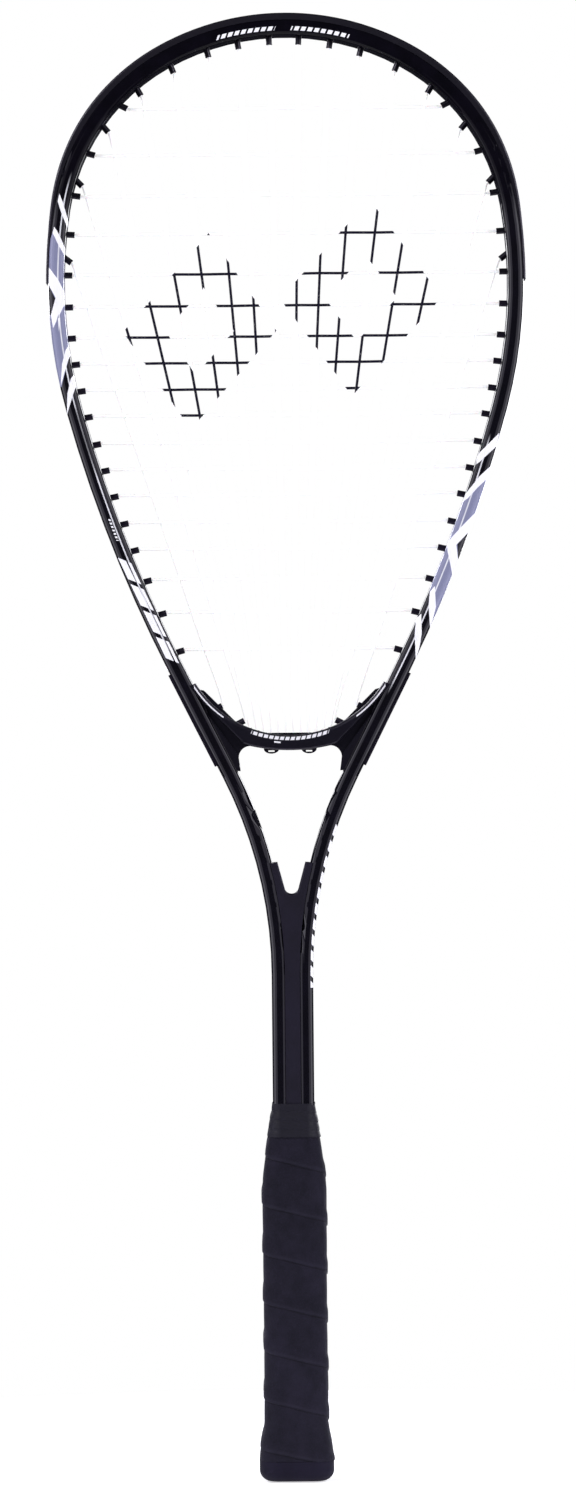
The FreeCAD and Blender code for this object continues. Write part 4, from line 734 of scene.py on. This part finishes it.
def grip_profile(h):
    """A rounded lower edge over the turn below, a flat, an easy fall, then a slight crown."""
    flat_end, fall_length, crown_start = 3.6, 4.2, 6.0
    edge = np.clip(h / 0.8, 0, 1)
    rise = 0.52 * np.sqrt(np.clip(1 - (1 - edge) ** 2, 0, 1))
    fall = 1 - np.clip((h - flat_end) / fall_length, 0, 1)
    fall = fall * fall * (3 - 2 * fall)
    tuck = -0.10 * np.exp(-((GRIP_PITCH - h) / 0.7) ** 2)
    crown_share = np.clip((h - crown_start) / (GRIP_PITCH - crown_start), 0, 1)
    return rise * fall + 0.10 * np.sin(np.pi * crown_share) + tuck


def grip_ripple(angle, z):
    """Slow waves, and short creases that come and go round the handle."""
    crease = 0.035 * np.sin(19 * angle + z / 2.3) * (0.5 + 0.5 * np.sin(2 * angle - z / 12.0))
    return waves(GRIP_WAVES, angle, z) + crease


def grip_material():
    g = Graph("grip")
    x, y, z = g.xyz()
    pore = g.cells(size=0.62)
    nap = g.noise(size=0.33, detail=4.0, rough=0.65)
    soft = g.noise(size=5.0, detail=4.0, rough=0.55)
    smear = g.noise(size=16.0, detail=3.0, rough=0.6,
                    vector=g.mapped(scale=(1.0, 1.0, 0.5), turn=(0.3, 0.4, 0.0)))
    # height above the seam; the spare whole turns keep the remainder positive
    spare = 10 * GRIP_PITCH
    turn = g.calc("DIVIDE", g.calc("ARCTAN2", y, x), 2 * math.pi)
    climb = g.add(g.sub(z, GRIP_SEAM - spare), g.mul(turn, GRIP_PITCH))
    above_seam = g.mod(g.add(climb, spare), GRIP_PITCH)
    # painted shade in the tuck under each overlap, and a painted highlight along the raised lower edge
    # of each turn
    painted_seam_shade = g.ramp(above_seam, GRIP_PITCH - 0.9, GRIP_PITCH - 0.05)
    painted_edge_highlight = g.mul(g.ramp(above_seam, 0.15, 0.6), g.invert(g.ramp(above_seam, 0.9, 2.4)))
    base = g.mix(g.linear(soft, 0.3, 0.7), rgb(18, 17, 27), rgb(26, 24, 36))
    base = g.mix(g.mul(g.ramp(smear, 0.46, 0.72), 0.4), base, rgb(34, 31, 46))
    base = g.mix(g.mul(g.ramp(nap, 0.48, 0.72), 0.55), base, rgb(44, 41, 58))
    # painted shade at the seam, then a painted highlight on the raised edge
    base = g.mix(g.mul(painted_seam_shade, 0.45), base, rgb(9, 9, 13))
    base = g.mix(g.mul(painted_edge_highlight, 0.2), base, rgb(48, 46, 60))
    height = g.add(g.mul(pore, 0.45), g.mul(nap, 0.55))
    g.set(base=base, rough=g.linear(nap, 0.3, 0.7, 0.78, 0.92), spec=0.12,
          normal=g.bump(height, depth=0.16, under=g.bump(soft, depth=0.35)),
          sheen=0.06, sheen_rough=0.45, sheen_tint=(0.62, 0.6, 0.78, 1.0))
    return g.mat


# ---------------------------------------------------------------- the tape over the grip's top end

# (z, width, depth, corner radius) from bottom to top
TAPE_SECTIONS = [
    (159.2, 25.2, 24.4, 6.7), (163.0, 23.9, 23.2, 6.1), (167.0, 22.7, 22.1, 5.4),
    (170.0, 21.8, 21.3, 4.9), (171.4, 21.0, 20.6, 4.5), (172.4, 20.4, 20.1, 4.3),
    (176.0, 19.8, 19.5, 4.0),
]
TAPE_ROWS = [0.0, 0.04, 0.12, 0.3, 0.6, 1.0, 1.5, 2.0, 2.5, 3.0, 3.4, 3.75, 3.95, 4.03]
TAPE_WAVES = [(0.05, 4, 1.9, 0.0), (0.035, 9, -1.1, 0.7), (0.03, 15, 0.8, 2.1)]


def tape_profile(h):
    """A sharp lower edge one layer high, then a straight fall."""
    layer, edge, fall_start, fall_length = 0.20, 0.12, 1.8, 1.8
    rise = layer * np.clip(h / edge, 0, 1)
    return rise * (1 - np.clip((h - fall_start) / fall_length, 0, 1))


def tape_ripple(angle, z):
    return 0.55 * waves(TAPE_WAVES, angle, z)


def tape_material():
    g = Graph("tape")
    stretch = g.noise(size=1.0, detail=3.0, rough=0.6, vector=g.mapped(scale=(0.5, 0.5, 3.0)))
    wrinkle = g.noise(size=2.4, detail=3.0, rough=0.6, vector=g.mapped(scale=(0.6, 0.6, 1.9)),
                      distortion=0.6)
    g.set(base=g.mix(g.linear(stretch, 0.3, 0.7), rgb(14, 13, 24), rgb(21, 19, 34)),
          rough=g.linear(wrinkle, 0.3, 0.7, 0.52, 0.66), spec=0.22,
          normal=g.bump(stretch, depth=0.01, under=g.bump(wrinkle, depth=0.12)))
    return g.mat


grip = wound("grip_wrap_spiral", GRIP_SECTIONS, z_low=9.6, z_high=169.6, pitch=GRIP_PITCH,
             start=GRIP_SEAM - 6 * GRIP_PITCH, profile=grip_profile, ripple=grip_ripple,
             columns=256, rows=GRIP_ROWS, inner_gap=1.3)
tape = wound("finishing_tape_wound", TAPE_SECTIONS, z_low=160.4, z_high=176.0, pitch=4.07,
             start=159.0, profile=tape_profile, ripple=tape_ripple,
             columns=192, rows=TAPE_ROWS, inner_gap=0.35)
for piece, material, node, slot in ((grip, grip_material(), "grip_wrap", "grip"),
                                    (tape, tape_material(), "finishing_tape", "tape")):
    piece.data.materials.append(material)
    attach(piece, "root")
    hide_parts(node)
    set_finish(piece, slot)

# ---------------------------------------------------------------- the strings


def drop_bare_edges(bm):
    bare = [edge for edge in bm.edges if not edge.link_faces]
    bmesh.ops.delete(bm, geom=bare, context="EDGES")


def lighter(node, name, share):
    """The same strings as one closed mesh, thinned to about the given share of the faces."""
    source = NODES[node]
    bm = bmesh.new()
    bm.from_mesh(source.data)
    bm.transform(source.matrix_world)
    bmesh.ops.remove_doubles(bm, verts=bm.verts[:], dist=3e-7)
    # where two runs butt, their end discs go
    shared = {vert for edge in bm.edges if len(edge.link_faces) > 2 for vert in edge.verts}
    discs = [face for face in bm.faces if all(vert in shared for vert in face.verts)]
    bmesh.ops.delete(bm, geom=discs, context="FACES_ONLY")
    drop_bare_edges(bm)
    mesh = bpy.data.meshes.new(name + "_welded")
    bm.to_mesh(mesh)
    bm.free()

    strings = object_of(name, mesh)
    strings.modifiers.new("thin", "DECIMATE").ratio = share
    depsgraph = bpy.context.evaluated_depsgraph_get()
    thinned = bpy.data.meshes.new_from_object(strings.evaluated_get(depsgraph))
    strings.modifiers.clear()

    bm = bmesh.new()
    bm.from_mesh(thinned)
    open_edges = [edge for edge in bm.edges if len(edge.link_faces) == 1]
    bmesh.ops.holes_fill(bm, edges=open_edges, sides=0)
    drop_bare_edges(bm)
    bm.to_mesh(thinned)
    bm.free()
    strings.data = thinned
    thinned.materials.clear()
    thinned.materials.append(source.data.materials[0])
    smooth(thinned)
    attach(strings, "root")
    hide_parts(node)
    if "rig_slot" in source:
        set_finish(strings, source["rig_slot"])


lighter("main_strings", "main_strings_woven", share=0.28)
lighter("cross_strings", "cross_strings_woven", share=0.34)

# ---------------------------------------------------------------- floor and world (metres from here on)


def build_floor():
    mesh = bpy.data.meshes.new("floor_disc")
    bm = bmesh.new()
    bmesh.ops.create_circle(bm, cap_ends=True, radius=0.42, segments=128)
    bm.to_mesh(mesh)
    bm.free()
    floor = object_of("floor_disc", mesh)
    floor.location = (0, 0, -0.0004)
    g = Graph("floor_pale")
    grain = g.linear(g.noise(size=60.0), 0.3, 0.7)
    g.set(base=g.mix(grain, rgb(244, 244, 248), rgb(250, 250, 253)), rough=0.8, spec=0.1,
          emit=0.55, emit_color=(1.0, 1.0, 1.0, 1.0))
    mesh.materials.append(g.mat)


def build_world():
    """White to the camera, a faint blue fill to everything else."""
    world = bpy.data.worlds.new("studio")
    bpy.context.scene.world = world
    world.use_nodes = True
    nodes, links = world.node_tree.nodes, world.node_tree.links
    nodes.clear()
    output = nodes.new("ShaderNodeOutputWorld")
    mix = nodes.new("ShaderNodeMixShader")
    path = nodes.new("ShaderNodeLightPath")
    links.new(path.outputs["Is Camera Ray"], mix.inputs[0])
    for k, colour, strength in ((2, (1.0, 1.0, 1.0, 1.0), 1.0), (1, (0.80, 0.80, 1.0, 1.0), 0.075)):
        background = nodes.new("ShaderNodeBackground")
        background.inputs[0].default_value = colour
        background.inputs[1].default_value = strength
        links.new(background.outputs[0], mix.inputs[k])
    links.new(mix.outputs[0], output.inputs[0])


build_floor()
build_world()

# ---------------------------------------------------------------- lights

SIDES = ((-1, "left"), (1, "right"))
TALL = {"target": (0, 0, 0.40), "size": (0.9, 1.5)}
SQUARE = {"target": (0, 0, 0.38), "size": (0.8, 0.8)}


def light(name, place, target, size, power, colour):
    data = bpy.data.lights.new(name, "AREA")
    data.shape = "RECTANGLE"
    data.size, data.size_y = size
    data.energy = power
    data.color = colour
    lamp = bpy.data.objects.new(name, data)
    lamp.location = place
    lamp.rotation_mode = "QUATERNION"
    lamp.rotation_quaternion = (Vector(target) - Vector(place)).to_track_quat("-Z", "Y")
    lamp.visible_camera = False
    bpy.context.scene.collection.objects.link(lamp)
    return lamp


tube = NODES["frame_tube"]
tube_only = bpy.data.collections.new("tube_only")
tube_only.objects.link(tube)
all_but_tube = bpy.data.collections.new("all_but_tube")
for thing in bpy.context.scene.objects:
    if thing.type == "MESH" and thing != tube:
        all_but_tube.objects.link(thing)

for sign, side in SIDES:
    light("side_" + side, (sign * 1.35, -0.25, 0.42), power=10.0, colour=(0.90, 0.88, 1.0), **TALL)
# the wings only give a soft reflection on the rounded sides of the tube
for sign, side in SIDES:
    wing = light("wing_" + side, (sign * 1.05, -1.15, 0.42), power=4.2,
                 colour=(0.86, 0.82, 1.0), **TALL)
    wing.light_linking.receiver_collection = tube_only
    wing.visible_diffuse = False
# on the tube the keys light the inks and leave no hard reflection
for name, place, power in (("key_left", (-1.5, -1.9, 1.5), 34.0),
                           ("key_right", (1.6, -1.7, 1.2), 26.0)):
    look = {"power": power, "colour": (1.0, 0.99, 0.98), **SQUARE}
    key = light(name, place, **look)
    key.light_linking.receiver_collection = all_but_tube
    tube_key = light(name + "_tube", place, **look)
    tube_key.light_linking.receiver_collection = tube_only
    tube_key.visible_glossy = False
for name, place in (("back_left", (-0.9, 1.5, 1.0)), ("back_right", (0.9, 1.5, 0.6))):
    light(name, place, power=18.0, colour=(0.96, 0.96, 1.0), **SQUARE)

# ---------------------------------------------------------------- camera
# Square to the face, rolled so that the racket leans a little to the left as it is seen.

ROLL = math.atan(0.00942)       # sideways lean per unit of height
VIEW_HEIGHT = 701.4 * MM        # height seen at the racket
DISTANCE = 3.0
SENSOR = 36.0

cam_data = bpy.data.cameras.new("camera")
cam = object_of("camera", cam_data)
cam_data.sensor_fit = "VERTICAL"
cam_data.sensor_width = SENSOR
cam_data.sensor_height = SENSOR
cam_data.lens = SENSOR * DISTANCE / VIEW_HEIGHT
cam_data.clip_start, cam_data.clip_end = 0.1, 50.0
cam.location = (-1.07 * MM, -DISTANCE, 340.9 * MM)
cam.rotation_euler = (math.pi / 2, ROLL, 0.0)

scene = bpy.context.scene
scene.camera = cam
scene.view_settings.view_transform = "Standard"
scene.view_settings.look = "None"
scene.view_settings.exposure = 0.0
scene.view_settings.gamma = 1.0
